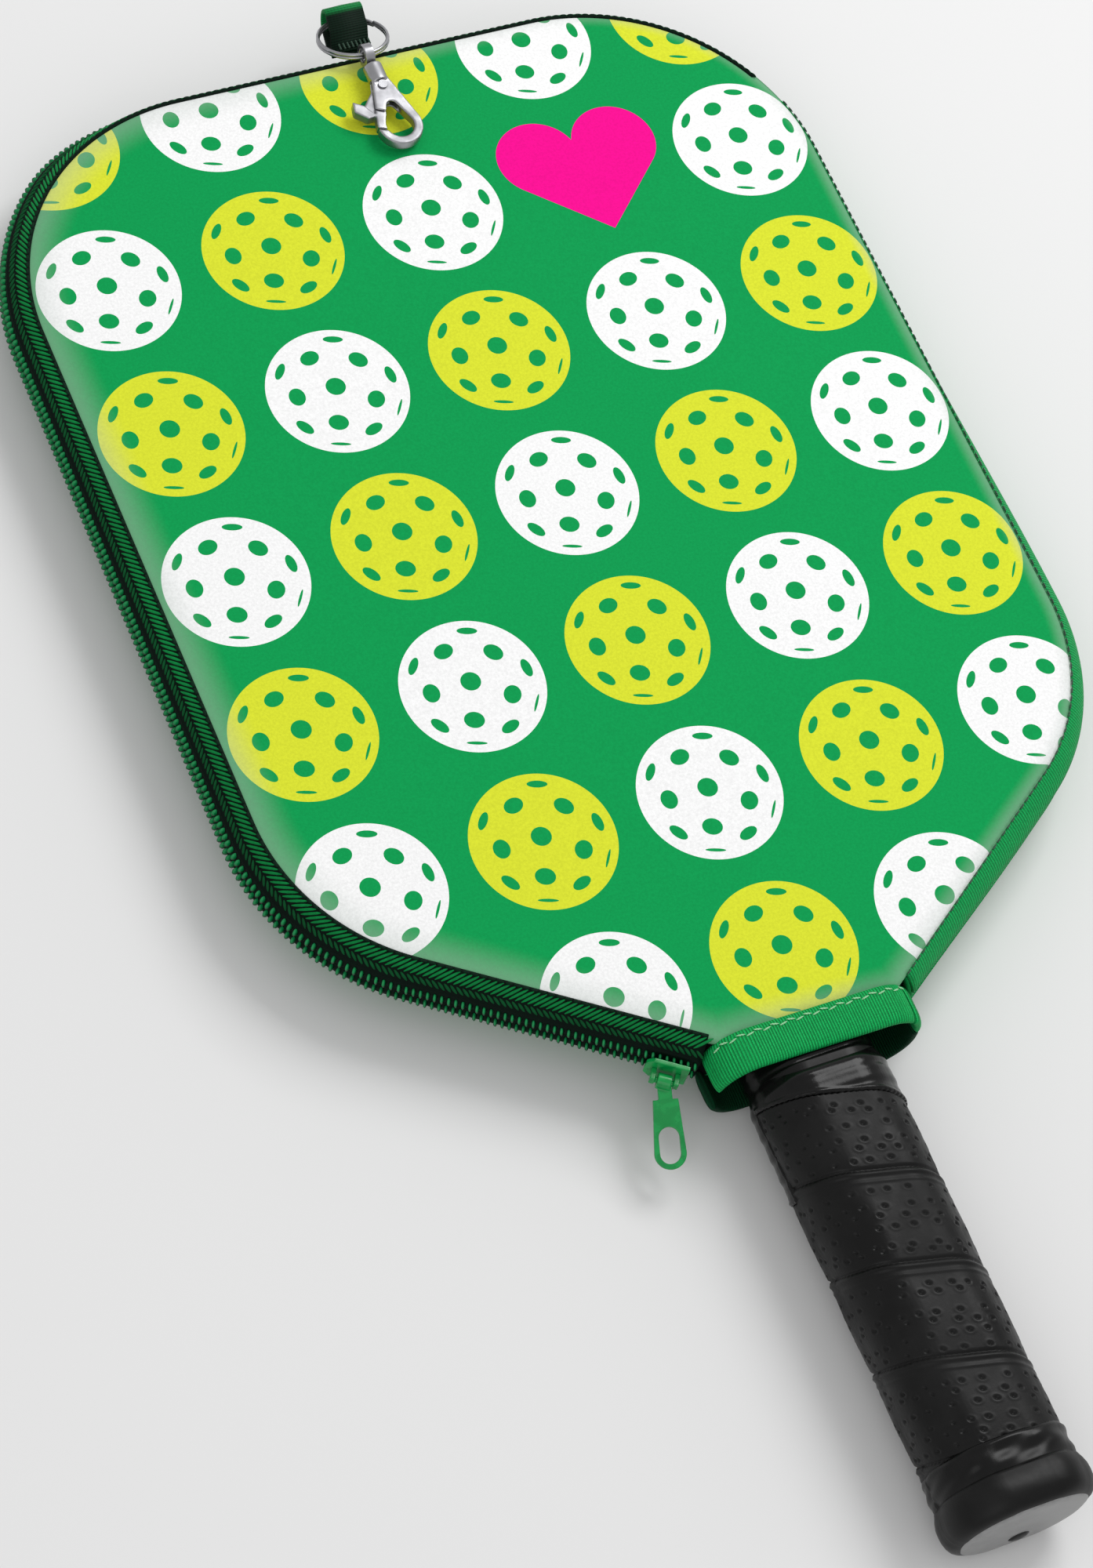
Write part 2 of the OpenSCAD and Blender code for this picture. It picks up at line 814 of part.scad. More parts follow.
// The collar is thin inside the neck band, and as thick as the grip beyond it
module grip_collar() {
    swell_y = neck_y - band_len - 2;
    slack = 1.4;
    color(BLACK)
        difference() {
            union() {
                octagon_bar(grip_w - slack, band_h - 2 * band_t - 0.6, collar_start, grip_start + fit);
                octagon_bar(grip_w - slack, grip_t - slack, swell_y, grip_start + fit);
            }
            core_shape(0);
        }
}

tape_len = 6;

module finishing_tape() {
    color(BLACK)
        difference() {
            octagon_bar(grip_w + 0.4, grip_t + 0.4, wrap_end - 0.1, wrap_end - tape_len);
            core_shape(0);
        }
}

module butt_cap() {
    flare = 2.8;                               // how much wider and thicker the cap is than the grip
    step = 3;
    face_t = 0.8;
    bump_r = 3;
    bump_t = 0.6;
    color(BLACK)
        difference() {
            union() {
                octagon_bar(grip_w + flare, grip_t + flare, wrap_end - tape_len - 0.1, butt_y + face_t);
                octagon_bar(grip_w + flare - step, grip_t + flare - step, butt_y + face_t + 0.1, butt_y);
                translate([paddle_x, butt_y + 0.1, mid_z])
                    rotate([90, 0, 0])
                        cylinder(h = bump_t + 0.1, r = bump_r);
            }
            core_shape(0);
        }
}

back_panel();
front_panel_fixed();
side_gusset();
gusset_front_binding();
gusset_back_binding();
back_zipper_tape();
back_zipper_coil();
zipper_end_stop();
neck_band_back();
hanging_loop();
loop_stitching();
front_panel();
front_zipper_tape();
front_zipper_coil();
front_seam_piping();
neck_band_front();
neck_band_stitching();
at_slider() slider_body();
at_slider() slider_bridge();
at_slider() pull_tab();
split_ring();
at_clasp() swivel_eye();
at_clasp() hook_frame();
at_clasp() gate_pin();
at_clasp() gate_spring();
at_clasp() gate_lever();
paddle_core();
paddle_front_sheet();
paddle_back_sheet();
edge_guard();
handle_core();
grip_wrap();
grip_collar();
finishing_tape();
butt_cap();
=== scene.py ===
"""Looks for the zipped paddle case: fabric, print, zipper, hardware and the wrapped handle."""

import json
import math

import bmesh
import bpy
import numpy as np
from mathutils import Matrix, Vector
from mathutils.geometry import delaunay_2d_cdt


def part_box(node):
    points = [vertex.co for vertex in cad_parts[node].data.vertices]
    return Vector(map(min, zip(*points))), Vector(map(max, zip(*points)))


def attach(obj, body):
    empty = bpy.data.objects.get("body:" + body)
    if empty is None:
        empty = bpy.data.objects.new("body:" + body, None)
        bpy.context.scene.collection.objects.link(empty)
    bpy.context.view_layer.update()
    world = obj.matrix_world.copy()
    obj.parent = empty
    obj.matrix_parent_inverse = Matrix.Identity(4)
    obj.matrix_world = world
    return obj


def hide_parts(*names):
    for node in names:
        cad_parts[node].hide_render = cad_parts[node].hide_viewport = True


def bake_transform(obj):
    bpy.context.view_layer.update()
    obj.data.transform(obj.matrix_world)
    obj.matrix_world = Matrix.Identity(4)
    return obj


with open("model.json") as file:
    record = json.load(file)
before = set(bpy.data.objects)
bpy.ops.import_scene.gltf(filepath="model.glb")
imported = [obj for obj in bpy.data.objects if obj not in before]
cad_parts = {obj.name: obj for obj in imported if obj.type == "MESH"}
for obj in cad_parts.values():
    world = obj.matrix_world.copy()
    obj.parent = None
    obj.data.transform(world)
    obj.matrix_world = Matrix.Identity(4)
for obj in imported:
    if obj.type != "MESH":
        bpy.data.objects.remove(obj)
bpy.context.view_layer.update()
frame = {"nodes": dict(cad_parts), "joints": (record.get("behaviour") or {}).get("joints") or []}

MM = 0.001
JOINTS = {joint["name"]: joint for joint in frame["joints"]}


def box(node):
    """The lowest and the highest corner of a CAD node, in millimetres."""
    return [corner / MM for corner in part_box(node)]


# ------------ sizes, in millimetres and degrees
panel_low, panel_high = box("back_panel")
HALF_W = panel_high.x
TOP_Y = panel_high.y
NECK_Y = panel_low.y
PANEL_T = panel_high.z
CASE_T = box("front_panel")[1].z
MID_Z = CASE_T / 2
TOP_R = 57.0  # the outline's corners at the top
LOW_R = 54.0  # its corners above the slanted shoulders
LOW_Y = -58.5
SHOULDER_A = 34.5  # a shoulder's slope
NECK_X = 23.0  # half the width between the shoulders
ZIP_GAP = 3.0  # from the neck to where the zipper starts
GUSSET_GAP = 4.4
ZIP_END_A = 20.0  # where the pieces end on the top right corner
FRONT_ZIP_END_A = 26.0
GUSSET_START_A = 16.0
GUSSET_BULGE = 5.4  # how far the wall stands out of the outline, at most
WALL_FOOT = 1.5  # the bulging wall starts this far from either face
ZIP_Z = 13.0  # the plane in which the zipper's rows meet
ZIP_OUT = 4.1  # how far they stand out of the outline
ROW_LOW = 0.65  # from that plane to a row of coil
COIL_H = 2.6
ROW_HIGH = ROW_LOW + COIL_H
SHOULDER_N = SHOULDER_A - 90  # the direction in which the right shoulder faces
TOP_X = HALF_W - TOP_R
LOW_X = HALF_W - LOW_R
TOP_CORNER_Y = TOP_Y - TOP_R
LOOP_TIP_Y = box("hanging_loop")[1].y


def polar(a, r=1.0):
    """The point at a distance in a direction given in degrees."""
    return np.array([math.cos(math.radians(a)), math.sin(math.radians(a))]) * r


def unit(vector):
    return vector / np.linalg.norm(vector)


# ------------ edge paths
# An edge path is an array of rows [x, y, direction of the outward normal in degrees], clockwise.
STEP = 2.0  # spacing of the points along a path
STRIP_PUFF = 0.15  # how far the middle of a strip stands out


def arc(centre, radius, from_a, to_a, full_radius=None):
    """Points on an arc, as many as the full radius needs."""
    length = abs(math.radians(to_a - from_a)) * (full_radius or radius)
    angles = np.linspace(from_a, to_a, math.ceil(length / STEP) + 1)
    return np.array([[*(np.array(centre) + polar(a, radius)), a] for a in angles])


def line(start, end, normal_a, count=None):
    count = count or math.ceil(math.dist(start, end) / STEP) + 1
    return np.array([[*point, normal_a] for point in np.linspace(start, end, count)])


def join(*runs):
    """One path from several that follow each other, without doubled points."""
    return np.concatenate([runs[0], *(run[1:] for run in runs[1:])])


def through(*parts):
    """An edge path along several runs, with a straight stretch between each and the next."""
    runs = [parts[0]]
    for part in parts[1:]:
        runs += [line(runs[-1][-1, :2], part[0, :2], part[0, 2]), part]
    return join(*runs)


def shoulder_end(side, gap, normal_a):
    """A path's end on a shoulder, a distance from the neck. side is 1 on the right and -1 on the left."""
    point = (polar(SHOULDER_A, gap) + [NECK_X, NECK_Y]) * [side, 1]
    return np.array([[*point, normal_a]])


def zip_path(end_a):
    left_n = 180 - SHOULDER_N
    return through(
        shoulder_end(-1, ZIP_GAP, left_n),
        arc([-LOW_X, LOW_Y], LOW_R, left_n, 180),
        arc([-TOP_X, TOP_CORNER_Y], TOP_R, 180, 90),
        arc([TOP_X, TOP_CORNER_Y], TOP_R, 90, end_a),
    )


def gusset_path():
    return through(
        arc([TOP_X, TOP_CORNER_Y], TOP_R, GUSSET_START_A, 0),
        arc([LOW_X, LOW_Y], LOW_R, 0, SHOULDER_N),
        shoulder_end(1, GUSSET_GAP, SHOULDER_N),
    )


def outline(inset):
    """Half of the outline moved in by a distance, from the neck's middle up the right side to the top."""
    corner = [NECK_X - inset * math.tan(math.radians(SHOULDER_A / 2)), NECK_Y + inset]
    low = arc([LOW_X, LOW_Y], LOW_R - inset, SHOULDER_N, 0, LOW_R)
    top = arc([TOP_X, TOP_CORNER_Y], TOP_R - inset, 0, 90, TOP_R)
    return join(
        line([0, NECK_Y + inset], corner, 270, 12),
        line(corner, low[0, :2], SHOULDER_N, 36),
        low,
        line(low[-1, :2], top[0, :2], 0, 70),
        top,
        line(top[-1, :2], [0, TOP_Y - inset], 90, 24),
    )[:, :2]


def whole_outline(inset):
    """The closed outline, counterclockwise from the middle of the neck."""
    right = outline(inset)
    left = right[-2:0:-1] * [-1, 1]
    return np.concatenate([right, left])


def lengths(points):
    """Distance along a run of points, at each of them."""
    return np.concatenate([[0], np.cumsum(np.linalg.norm(np.diff(points, axis=0), axis=1))])


def rows_at(path, distances):
    """Rows of a path at given distances along it."""
    return np.stack([np.interp(distances, lengths(path[:, :2]), column) for column in path.T], 1)


def resample(path, spacing):
    """Rows at even distances along a path."""
    return rows_at(path, np.arange(spacing / 2, lengths(path[:, :2])[-1], spacing))


def directions(normal_a):
    """The level directions out of an edge and along it."""
    outward = np.array([*polar(normal_a), 0.0])
    return outward, np.array([outward[1], -outward[0], 0.0])


def ease(low, high, share):
    """From low at a share of 0 to high at a share of 1, with a smooth start and end."""
    share = max(0.0, min(1.0, share))
    return low + (high - low) * (3 - 2 * share) * share * share


# ------------ mesh helpers
def new_object(name, points, faces, material, uvs=None):
    """A smooth mesh object from points in millimetres. uvs holds one (u, v) per point."""
    mesh = bpy.data.meshes.new(name)
    mesh.from_pydata((np.asarray(points) * MM).tolist(), [], faces)
    mesh.validate()
    if uvs is not None:
        layer = mesh.uv_layers.new(name="cloth")
        corners = np.zeros(len(mesh.loops), np.int32)
        mesh.loops.foreach_get("vertex_index", corners)
        layer.data.foreach_set("uv", np.asarray(uvs, np.float32)[corners].ravel())
    mesh.polygons.foreach_set("use_smooth", [True] * len(mesh.polygons))
    mesh.materials.append(material)
    obj = bpy.data.objects.new(name, mesh)
    bpy.context.scene.collection.objects.link(obj)
    return obj


def outward_normals(obj):
    mesh = bmesh.new()
    mesh.from_mesh(obj.data)
    bmesh.ops.recalc_face_normals(mesh, faces=mesh.faces)
    mesh.to_mesh(obj.data)
    mesh.free()
    return obj


def finish_piece(obj, body, slot, *nodes):
    """Hangs a piece on its body, in place of the CAD nodes that it stands for."""
    if body:
        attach(obj, body)
    if nodes:
        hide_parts(*nodes)


def ring_faces(rings, size):
    """Quads between closed rings of points that are numbered ring by ring."""
    return [
        (i * size + j, (i + 1) * size + j, (i + 1) * size + (j + 1) % size, i * size + (j + 1) % size)
        for i in range(rings - 1) for j in range(size)
    ]


def loft(name, rings, material):
    """A closed surface through rings of points that all have the same count."""
    rings = np.asarray(rings, float)
    count, size = rings.shape[:2]
    along = lengths(rings.mean(1))
    across = lengths(rings[count // 2])
    uvs = np.stack(np.meshgrid(along, across, indexing="ij"), -1).reshape(-1, 2)
    faces = ring_faces(count, size)
    faces.append(tuple(range(size)))
    faces.append(tuple(range(count * size - 1, (count - 1) * size - 1, -1)))
    return outward_normals(new_object(name, rings.reshape(-1, 3), faces, material, uvs))


def sweep(name, path, profile_at, material):
    """A closed profile carried along an edge path. profile_at(row) gives points [out, height]."""
    rings = []
    for row in path:
        x, y, normal_a = row
        out = polar(normal_a)
        rings.append([[x + q * out[0], y + q * out[1], z] for q, z in profile_at(row)])
    return loft(name, rings, material)


def rounded_strip(low, high, thick):
    """Profile of a strip that leans from one point [out, height] to another, with round edges."""
    low, high = np.array(low, float), np.array(high, float)
    along = unit(high - low)
    outward = np.array([along[1], -along[0]])
    share = np.linspace(0, 1, 10)
    spine = low + np.outer(share, high - low)
    outer = spine + np.outer(STRIP_PUFF * np.sin(np.pi * share), outward)
    inner = spine - outward * thick
    r = thick / 2
    rounds = [r * (outward * sine + along * cosine) for cosine, sine in map(polar, (60, 0, -60))]
    cap_high = [high - outward * r + way for way in rounds]
    cap_low = [low - outward * r - way for way in rounds]
    return np.concatenate([outer, cap_high, inner[::-1], cap_low])


def wall_profile(bulge, inset, thick, low, high, count):
    """A closed profile between two heights of the bulging wall, a distance inside the wall's outer face."""
    half = MID_Z - WALL_FOOT
    radius = (half * half + bulge * bulge) / (2 * bulge)
    from_a, to_a = (math.asin((z - MID_Z) / radius) for z in (low, high))
    angles = np.linspace(from_a, to_a, count)
    ways = np.stack([np.cos(angles), np.sin(angles)], 1)
    faces = ways * (radius - inset), ways[::-1] * (radius - inset - thick)
    return np.concatenate(faces) + [bulge - radius, MID_Z]


BEAD = bmesh.new()
bmesh.ops.create_uvsphere(BEAD, u_segments=10, v_segments=6, radius=1.0)
BEAD_POINTS = np.array([v.co for v in BEAD.verts])
BEAD_FACES = [[v.index for v in f.verts] for f in BEAD.faces]
BEAD.free()


def beads(name, places, size, material):
    """One small rounded lump at each place. A place is (centre, forward, side, up)."""
    points, faces = [], []
    for centre, forward, side, up in places:
        base = len(points)
        local = BEAD_POINTS * size
        points += list(np.asarray(centre) + local @ np.array([forward, side, up]))
        faces += [[base + i for i in face] for face in BEAD_FACES]
    return new_object(name, points, faces, material)


def edge_places(path, pitch, out, height, lean=0.0):
    """Places for beads along an edge path. lean tips their height axis along the path."""
    for x, y, normal_a in resample(path, pitch):
        outward, forward = directions(normal_a)
        up = unit(np.array([0, 0, 1.0]) + forward * lean)
        yield np.array([x, y, height]) + outward * out, np.cross(outward, up), outward, up


# ------------ shader helper
class Shader:
    """Short names for the node calls that the materials share."""

    SURFACE = {"roughness": "Roughness", "metallic": "Metallic", "sheen": "Sheen Weight",
               "coat": "Coat Weight", "specular": "Specular IOR Level"}

    def __init__(self, name, **surface):
        self.material = bpy.data.materials.new(name)
        self.material.use_nodes = True
        self.tree = self.material.node_tree
        self.bsdf = self.tree.nodes["Principled BSDF"]
        for key, value in surface.items():
            self.bsdf.inputs[self.SURFACE[key]].default_value = value

    def node(self, kind, *inputs, **settings):
        """A new node with its settings made and its first inputs plugged in."""
        made = self.tree.nodes.new(kind)
        for key, value in settings.items():
            setattr(made, key, value)
        for socket, value in zip(made.inputs, inputs):
            self.plug(socket, value)
        return made

    def plug(self, socket, value):
        if isinstance(value, bpy.types.NodeSocket):
            self.tree.links.new(value, socket)
        elif value is not None:
            socket.default_value = value

    def math(self, operation, a, b=None, c=None, clamp=False):
        return self.node("ShaderNodeMath", a, b, c, operation=operation, use_clamp=clamp).outputs[0]

    def times(self, a, b):
        return self.math("MULTIPLY", a, b)

    def dot(self, a, b):
        return self.node("ShaderNodeVectorMath", a, b, operation="DOT_PRODUCT").outputs["Value"]

    def scaled(self, vector, factor):
        made = self.node("ShaderNodeVectorMath", vector, operation="SCALE")
        self.plug(made.inputs["Scale"], factor)
        return made.outputs["Vector"]

    def mix(self, factor, a, b):
        made = self.node("ShaderNodeMix", data_type="RGBA")
        self.plug(made.inputs["Factor"], factor)
        self.plug(made.inputs["A"], rgba(a))
        self.plug(made.inputs["B"], rgba(b))
        return made.outputs["Result"]

    def step(self, value, low, high, from_value=0.0, to_value=1.0):
        """A smooth change of value between low and high."""
        made = self.node("ShaderNodeMapRange", value, low, high, from_value, to_value,
                         interpolation_type="SMOOTHSTEP")
        return made.outputs["Result"]

    def drift(self, noise, from_value, to_value):
        """A value that goes from one end to the other with a noise."""
        return self.step(noise, 0.3, 0.7, from_value, to_value)

    def wave(self, value, pitch):
        return self.math("SINE", self.times(value, 2 * math.pi / pitch))

    def noise(self, scale, detail=2.0, roughness=0.5, at=None):
        vector = at or self.place()
        return self.node("ShaderNodeTexNoise", vector, None, scale, detail, roughness).outputs["Fac"]

    def place(self):
        """The point on the piece at rest, in metres, which poses don't change."""
        return self.node("ShaderNodeTexCoord").outputs["Object"]

    def attribute(self, name, output="Fac"):
        return self.node("ShaderNodeAttribute", attribute_name=name).outputs[output]

    def split(self, vector):
        return self.node("ShaderNodeSeparateXYZ", vector).outputs

    def cloth_uv(self):
        """Distance along and across a swept strip, in millimetres."""
        return self.split(self.node("ShaderNodeUVMap", uv_map="cloth").outputs["UV"])[:2]

    def bump(self, height, strength, distance):
        made = self.node("ShaderNodeBump")
        made.inputs["Strength"].default_value = strength
        made.inputs["Distance"].default_value = distance * MM
        self.plug(made.inputs["Height"], height)
        self.plug(self.bsdf.inputs["Normal"], made.outputs["Normal"])

    def colour(self, value, shade=None):
        """Sets the colour, times a shade if one is given."""
        if shade is not None:
            value = self.scaled(value, shade)
        self.plug(self.bsdf.inputs["Base Color"], rgba(value))

    def speckle(self, colour, noise, times, high=0.7):
        """Sets a colour that turns to a multiple of itself where the noise is high."""
        self.colour(self.mix(self.step(noise, 0.35, high), colour, tuple(times * c for c in colour)))

    def roughness(self, value):
        self.plug(self.bsdf.inputs["Roughness"], value)


def rgba(value):
    return (*value, 1.0) if isinstance(value, tuple) and len(value) == 3 else value


# ------------ colours, linear
GREEN = (0.004, 0.290, 0.070)
PANEL_GREEN = (0.004, 0.330, 0.082)
# painted sheen and shade for the print near its edge
PAINTED_RIM_GREY = (0.42, 0.50, 0.45)
WHITE = (0.93, 0.93, 0.93)
YELLOW = (0.70, 0.76, 0.035)
PINK = (0.92, 0.003, 0.29)
PALE_THREAD = (0.36, 0.80, 0.42)
BLACK = (0.008, 0.008, 0.008)
RUBBER = (0.003, 0.003, 0.003)

# ------------ the print
BALL_PITCH = 43.0
BALL_R = 17.7
BALL_AT = (1.0, 88.3)  # centre of one ball, on the lattice that all of them share
HEART_CELL = (1, 0)  # columns right of that ball, rows down from it
HEART_LOBE_R = 11.0
HEART_LOBE_X = 10.5
HEART_TIP = 25.0
HEART_LIFT = 8.0  # lobe centres above the cell's middle
HOLE_R = 0.14  # of the ball's radius
# for each ring of holes: angle from the pole, how many, the first one's direction, how thin they are drawn
HOLE_RINGS = ((0, 1, 0, 1), (35, 5, 36, 1), (53.5, 5, 0, 0.9), (63.5, 5, 36, 0.5))
HOLE_LIMIT = 63.2  # a hole this far round the ball isn't seen
POLE = (0.0, 0.076)  # where the pole of the rings shows, off the ball's middle


def ball_holes():
    """How a ball's holes are drawn: distance and direction from the middle, and how narrow each is."""
    pole = Vector((*POLE, 1)).normalized()
    tilt = Vector((0, 0, 1)).rotation_difference(pole).to_matrix()
    for polar_a, count, phase, thin in HOLE_RINGS:
        for k in range(count):
            around = math.radians(phase + 360 * k / count)
            away = math.radians(polar_a)
            flat = math.sin(away)
            way = tilt @ Vector((flat * math.cos(around), flat * math.sin(around), math.cos(away)))
            seen_a = math.degrees(math.acos(way.z))
            if seen_a < HOLE_LIMIT:
                narrow = thin * math.sqrt(1 - (seen_a / HOLE_LIMIT) ** 2)
                yield way.xy.length, math.atan2(way.y, way.x), narrow


def in_heart(s, x, y):
    """1 inside a heart round the origin, which is the middle between its lobes' centres."""
    x = s.math("ABSOLUTE", x)
    off = s.math("SUBTRACT", x, HEART_LOBE_X)
    spread = s.math("MULTIPLY_ADD", off, off, s.times(y, y))
    lobe = s.math("LESS_THAN", spread, HEART_LOBE_R ** 2)
    # the side runs from the tip to where it touches the lobe
    reach = math.hypot(HEART_LOBE_X, HEART_TIP)
    side_a = math.atan2(HEART_TIP, HEART_LOBE_X) - math.asin(HEART_LOBE_R / reach)
    touch_y = -HEART_LOBE_R * math.cos(side_a)
    beyond = s.math("MULTIPLY_ADD", x, math.sin(side_a),
                    s.times(s.math("ADD", y, HEART_TIP), -math.cos(side_a)))
    taper = s.times(s.math("LESS_THAN", beyond, 0.0), s.math("LESS_THAN", y, touch_y))
    middle = s.times(s.math("LESS_THAN", x, HEART_LOBE_X), s.math("LESS_THAN", y, 0.0))
    middle = s.times(middle, s.math("GREATER_THAN", y, touch_y - 0.01))
    return s.math("MAXIMUM", lobe, s.math("MAXIMUM", taper, middle))


def in_ball(s, x, y):
    """1 inside a ball round the origin, apart from its holes."""
    u = s.math("DIVIDE", x, BALL_R)
    v = s.math("DIVIDE", y, BALL_R)
    ball = s.math("LESS_THAN", s.math("MULTIPLY_ADD", u, u, s.times(v, v)), 1.0)
    point = s.node("ShaderNodeCombineXYZ", u, v, 1.0).outputs[0]
    nearest = 4.0
    for reach, way, narrow in ball_holes():
        cosine, sine = math.cos(way), math.sin(way)
        off = s.dot(point, (cosine / narrow, sine / narrow, -reach / narrow))
        aside = s.dot(point, (-sine, cosine, 0))
        nearest = s.math("MINIMUM", nearest, s.math("MULTIPLY_ADD", off, off, s.times(aside, aside)))
    hole = s.math("LESS_THAN", nearest, HOLE_R ** 2)
    return s.math("SUBTRACT", ball, hole, clamp=True)


def printed_fabric():
    """Knit-faced foam with a lattice of perforated balls, one of them swapped for a heart."""
    s = Shader("printed_knit", roughness=0.7, specular=0.05)
    rest = s.attribute("rest", "Vector")
    x, y, _ = s.split(s.scaled(rest, 1 / MM))
    across = s.math("DIVIDE", s.math("SUBTRACT", x, BALL_AT[0]), BALL_PITCH)
    down = s.math("DIVIDE", s.math("SUBTRACT", BALL_AT[1], y), BALL_PITCH)
    column = s.math("ROUND", across)
    row = s.math("ROUND", down)
    in_x = s.times(s.math("SUBTRACT", across, column), BALL_PITCH)
    in_y = s.times(s.math("SUBTRACT", row, down), BALL_PITCH)

    odd = s.math("PINGPONG", s.math("ADD", row, column), 1.0)
    cell_x = s.math("COMPARE", column, float(HEART_CELL[0]), 0.4)
    cell_y = s.math("COMPARE", row, float(HEART_CELL[1]), 0.4)
    heart_cell = s.times(cell_x, cell_y)
    heart = s.times(heart_cell, in_heart(s, in_x, s.math("SUBTRACT", in_y, HEART_LIFT)))
    ball = s.times(in_ball(s, in_x, in_y), s.math("SUBTRACT", 1.0, heart_cell))

    colour = s.mix(ball, PANEL_GREEN, s.mix(odd, WHITE, YELLOW))
    colour = s.mix(heart, colour, PINK)
    grain = s.noise(1500, detail=3.0, roughness=0.7, at=rest)
    colour = s.scaled(colour, s.step(grain, 0.25, 0.75, 0.90, 1.06))
    # painted sheen and shade: the fabric is painted grey near its edge, where it turns down, over a wider
    # strip on the left
    near = s.math("DIVIDE", s.attribute("edge"), s.step(x, -90.0, 90.0, 11.0, 4.5))
    s.colour(s.mix(s.step(near, 0.0, 1.0, 0.36, 0.0), colour, PAINTED_RIM_GREY))
    s.bump(grain, strength=0.35, distance=0.12)
    return s.material


# ------------ materials
def knit(name, colour, roughness=0.7, scale=900, depth=0.15):
    """Plain knit: fine grain with slow shade changes."""
    s = Shader(name, roughness=roughness, specular=0.1)
    grain = s.noise(scale, detail=3.0, roughness=0.7)
    slow = s.noise(25)
    s.colour(colour, s.times(s.drift(grain, 0.85, 1.1), s.drift(slow, 0.9, 1.1)))
    s.bump(grain, strength=0.5, distance=depth)
    return s.material


def twill_tape(name, light, dark):
    """Herringbone tape: slanting threads that turn back at each column."""
    s = Shader(name, roughness=0.55, specular=0.15)
    along, across = s.cloth_uv()
    zigzag = s.math("PINGPONG", across, 2.6)
    wave = s.wave(s.math("MULTIPLY_ADD", zigzag, 1.25, along), 1.15)
    thread = s.step(wave, -0.7, 0.5)
    s.colour(s.mix(thread, dark, light), s.drift(s.noise(2500), 0.8, 1.15))
    s.bump(thread, strength=0.8, distance=0.25)
    return s.material


def ribbed(name, colour, dark, pitch=0.7):
    """Ribbed elastic: fine cords across the strip."""
    s = Shader(name, roughness=0.6, specular=0.12)
    along, across = s.cloth_uv()
    rise = s.math("MULTIPLY_ADD", s.wave(across, 0.55), 0.25, s.wave(along, pitch))
    cord = s.step(rise, -0.9, 0.4)
    s.colour(s.mix(cord, dark, colour), s.drift(s.noise(2200), 0.85, 1.15))
    s.bump(cord, strength=0.9, distance=0.3)
    return s.material


def webbing():
    """Woven tape with painted light: a painted highlight where its fold catches the light, painted shade
    nearly black below.
    """
    s = Shader("webbing_weave", roughness=0.6, specular=0.12)
    _, y, _ = s.split(s.place())
    along, across = s.cloth_uv()
    cord = s.step(s.math("MULTIPLY_ADD", s.wave(across, 0.9), 0.4, s.wave(along, 0.7)), -0.9, 0.6)
    # painted light and shade: nearly black below, bright green at the fold's tip
    tip = s.step(y, (LOOP_TIP_Y - 4.6) * MM, (LOOP_TIP_Y - 2.4) * MM)
    s.colour(s.mix(tip, (0.001, 0.012, 0.005), (0.004, 0.22, 0.05)), s.step(cord, 0.0, 1.0, 0.6, 1.1))
    s.bump(cord, strength=0.7, distance=0.2)
    return s.material


def metal(name, colour, roughness=0.3):
    """Polished metal with faint smears and small scratches."""
    s = Shader(name, metallic=1.0)
    smear = s.noise(180, detail=3.0)
    s.speckle(colour, smear, 0.8)
    s.roughness(s.step(smear, 0.3, 0.75, roughness * 0.7, roughness * 1.8))
    s.bump(s.noise(2600), strength=0.08, distance=0.03)
    return s.material


def painted(name, colour):
    """Glossy paint on die-cast metal, a little uneven."""
    s = Shader(name, coat=0.15, specular=0.3)
    uneven = s.noise(350, detail=3.0)
    s.speckle(colour, uneven, 1.35)
    s.roughness(s.drift(uneven, 0.18, 0.36))
    s.bump(uneven, strength=0.12, distance=0.08)
    return s.material


def rubbery(name, colour, roughness, grain=0.1):
    """Wrapped grip rubber with soft smears of shine."""
    s = Shader(name, specular=0.2)
    smear = s.noise(70, detail=4.0, roughness=0.6)
    s.speckle(colour, smear, 2.2)
    s.roughness(s.drift(smear, roughness * 0.75, roughness * 1.3))
    s.bump(s.noise(1400), strength=grain, distance=0.06)
    return s.material


def plastic(name, colour, roughness=0.4, grain=400, depth=0.05):
    """Moulded plastic with a fine texture."""
    s = Shader(name)
    fine = s.noise(grain, detail=3.0)
    s.speckle(colour, fine, 1.3, high=0.65)
    s.roughness(s.drift(fine, roughness * 0.85, roughness * 1.15))
    s.bump(fine, strength=0.3, distance=depth)
    return s.material


def coil_nylon():
    """Glossy nylon coil with painted light: a painted highlight where a turn faces the viewer, painted
    shade near black where its surface turns away, between the turns.
    """
    s = Shader("coil_nylon", specular=0.3)
    facing = s.node("ShaderNodeLayerWeight")
    facing.inputs["Blend"].default_value = 0.35
    # painted highlight and shade, by how squarely the surface faces the viewer
    bright = s.step(facing.outputs["Facing"], 0.05, 0.55, 1.0, 0.0)
    fine = s.noise(600, detail=3.0)
    s.colour(s.mix(bright, (0.001, 0.02, 0.007), (0.004, 0.27, 0.075)))
    s.roughness(s.drift(fine, 0.26, 0.4))
    s.bump(fine, strength=0.3, distance=0.05)
    return s.material


def sewing_thread(name, colour):
    """Twisted thread."""
    s = Shader(name, roughness=0.5, sheen=0.2)
    x, y, _ = s.split(s.place())
    twist = s.wave(s.math("ADD", x, y), 0.5 * MM)
    s.colour(s.mix(s.step(twist, -0.5, 0.6), tuple(0.6 * c for c in colour), colour))
    s.bump(twist, strength=0.4, distance=0.08)
    return s.material


